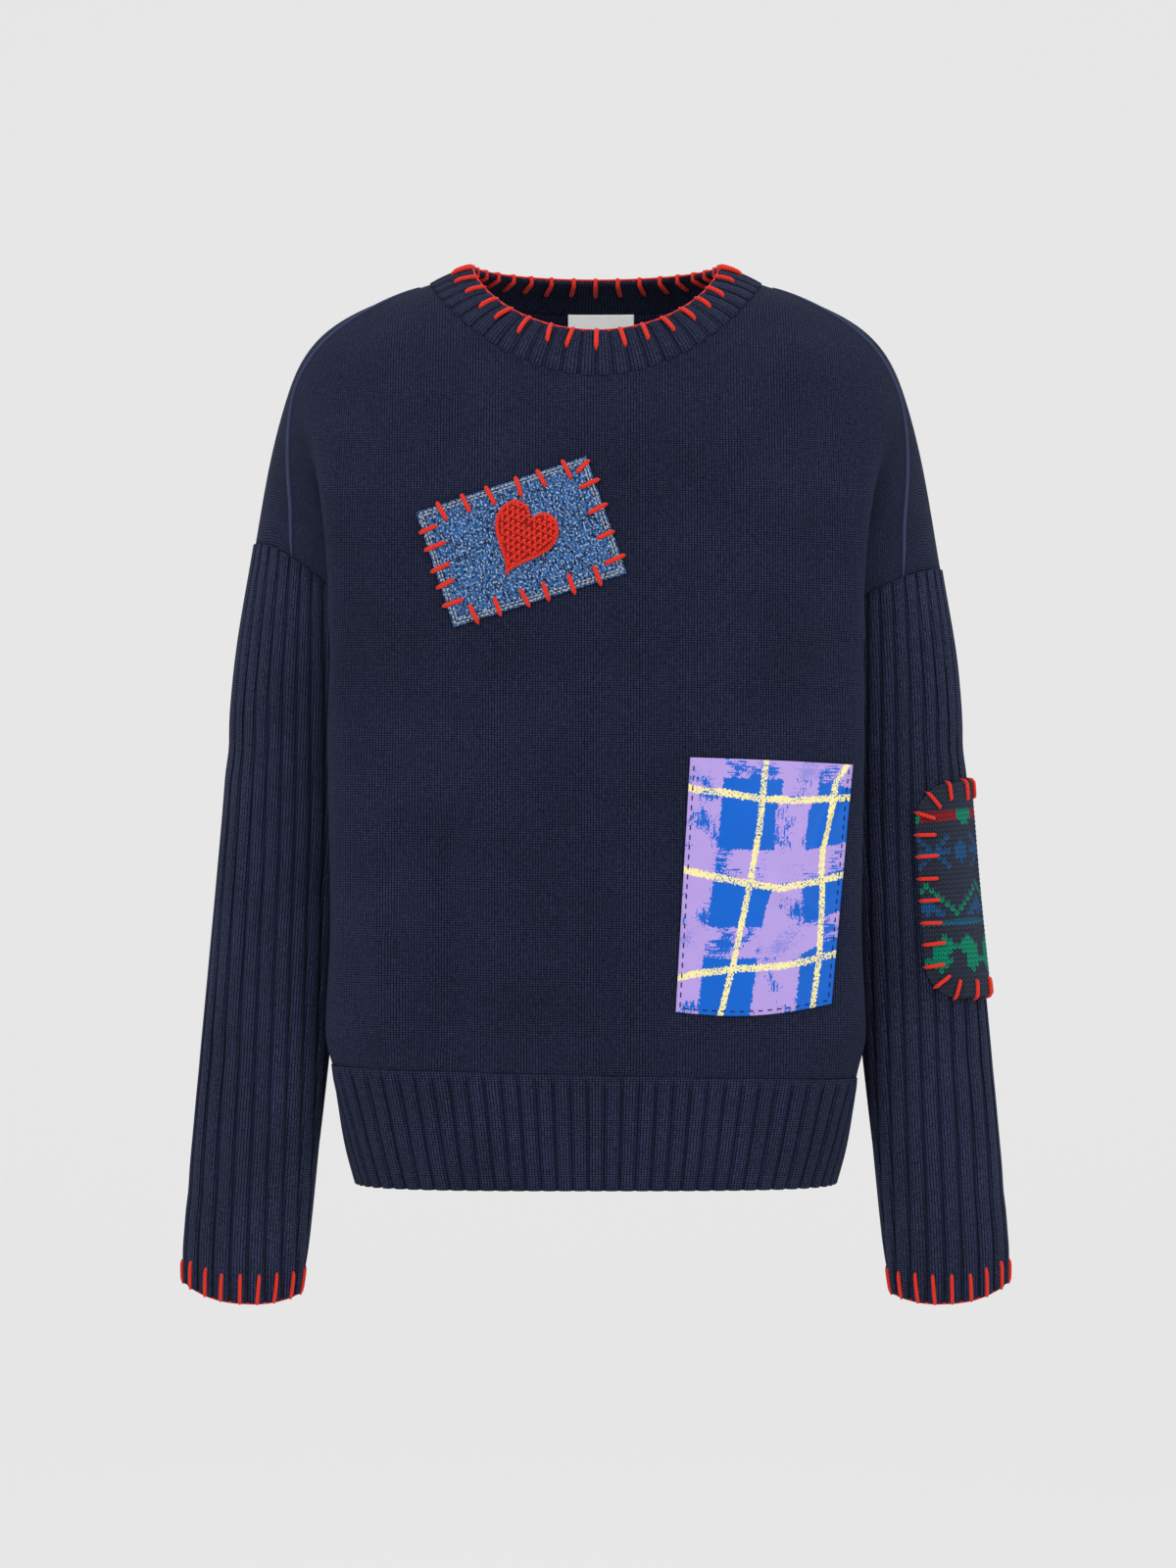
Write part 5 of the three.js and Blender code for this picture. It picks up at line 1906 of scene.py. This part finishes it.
@dataclass
class Studio:
    """Camera, pale backdrop and soft light."""

    camera_at: tuple = (-5.6, -3500, -372.4)
    lens: float = 112.5
    floor_z: float = -1.25
    wall_y: float = 4.4
    bend: float = 0.8
    aim_at: tuple = (0, 0, -0.37)
    sky: float = 0.72
    floor_front: float = -4.5
    wall_top: float = 3.0
    half_width: float = 5

    def camera(self) -> None:
        """Looks level along +Y, as the photograph was taken."""
        data = bpy.data.cameras.new("camera")
        data.lens = self.lens
        data.sensor_width = 36
        camera = bpy.data.objects.new("camera", data)
        camera.location = [value * MM for value in self.camera_at]
        camera.rotation_euler = (np.pi / 2, 0, 0)
        bpy.context.collection.objects.link(camera)
        bpy.context.scene.camera = camera

    def backdrop(self) -> None:
        """Floor and wall as one sheet, joined by a quarter circle."""
        turn = np.linspace(0, np.pi / 2, 24)
        start, low = self.wall_y - self.bend, self.floor_z + self.bend
        y = [np.linspace(self.floor_front, start, 12), (start + self.bend * np.sin(turn))[1:],
             np.full(7, self.wall_y)]
        z = [np.full(12, self.floor_z), (low - self.bend * np.cos(turn))[1:],
             np.linspace(low, self.wall_top, 8)[1:]]
        across = np.linspace(-self.half_width, self.half_width, 9)
        across, y, z = np.broadcast_arrays(across, np.concatenate(y)[:, None], np.concatenate(z)[:, None])
        points = np.stack([across, y, z], axis=-1)
        mesh = Weave()
        mesh.grid(points, points[..., :2], flip=True)
        paper = bpy.data.meshes.new("backdrop")
        paper.from_pydata(mesh.points[0].tolist(), [], mesh.quads[0].tolist())
        paper.polygons.foreach_set("use_smooth", np.ones(len(paper.polygons), bool))
        paper.materials.append(PalePaper().material())
        sheet = bpy.data.objects.new("backdrop", paper)
        bpy.context.collection.objects.link(sheet)

    def lights(self) -> None:
        """An even sky and three large soft lamps."""
        world = bpy.data.worlds.new("sky")
        bpy.context.scene.world = world
        world.use_nodes = True
        sky = world.node_tree.nodes["Background"].inputs
        sky["Color"].default_value = (1, 1, 1, 1)
        sky["Strength"].default_value = self.sky
        for name, at, watts, size in (
                ("key", (-1.4, -2.8, 1.4), 34, 1.6), ("fill", (1.9, -2.4, 0.4), 20, 1.8),
                ("top", (0, -0.4, 2.2), 12, 1.8)):
            data = bpy.data.lights.new(name, "AREA")
            data.energy = watts
            data.size = size
            lamp = bpy.data.objects.new(name, data)
            lamp.location = at
            x, y, z = np.subtract(self.aim_at, at)
            tilt, turn = np.arctan2(np.hypot(x, y), -z), np.arctan2(y, x) - np.pi / 2
            lamp.rotation_euler = (float(tilt), 0, float(turn))
            bpy.context.collection.objects.link(lamp)

    def build(self) -> None:
        """Sets the whole studio."""
        self.camera()
        self.backdrop()
        self.lights()
        bpy.context.scene.view_settings.view_transform = "Standard"


def main() -> None:
    """Builds the studio and every piece, in order."""
    logging.basicConfig(level=logging.INFO, format="%(name)s: %(message)s")
    Studio().build()
    panels = Panels()
    panels.build()
    panels.welts()
    for piece in (Sleeves(), Neckband(), HemBand(), DenimPatch(), CheckPatch(), ElbowPatch(), NeckLabel(),
                  NeckStitches(), CuffStitches()):
        piece.build()


if __name__ == "__main__":
    main()
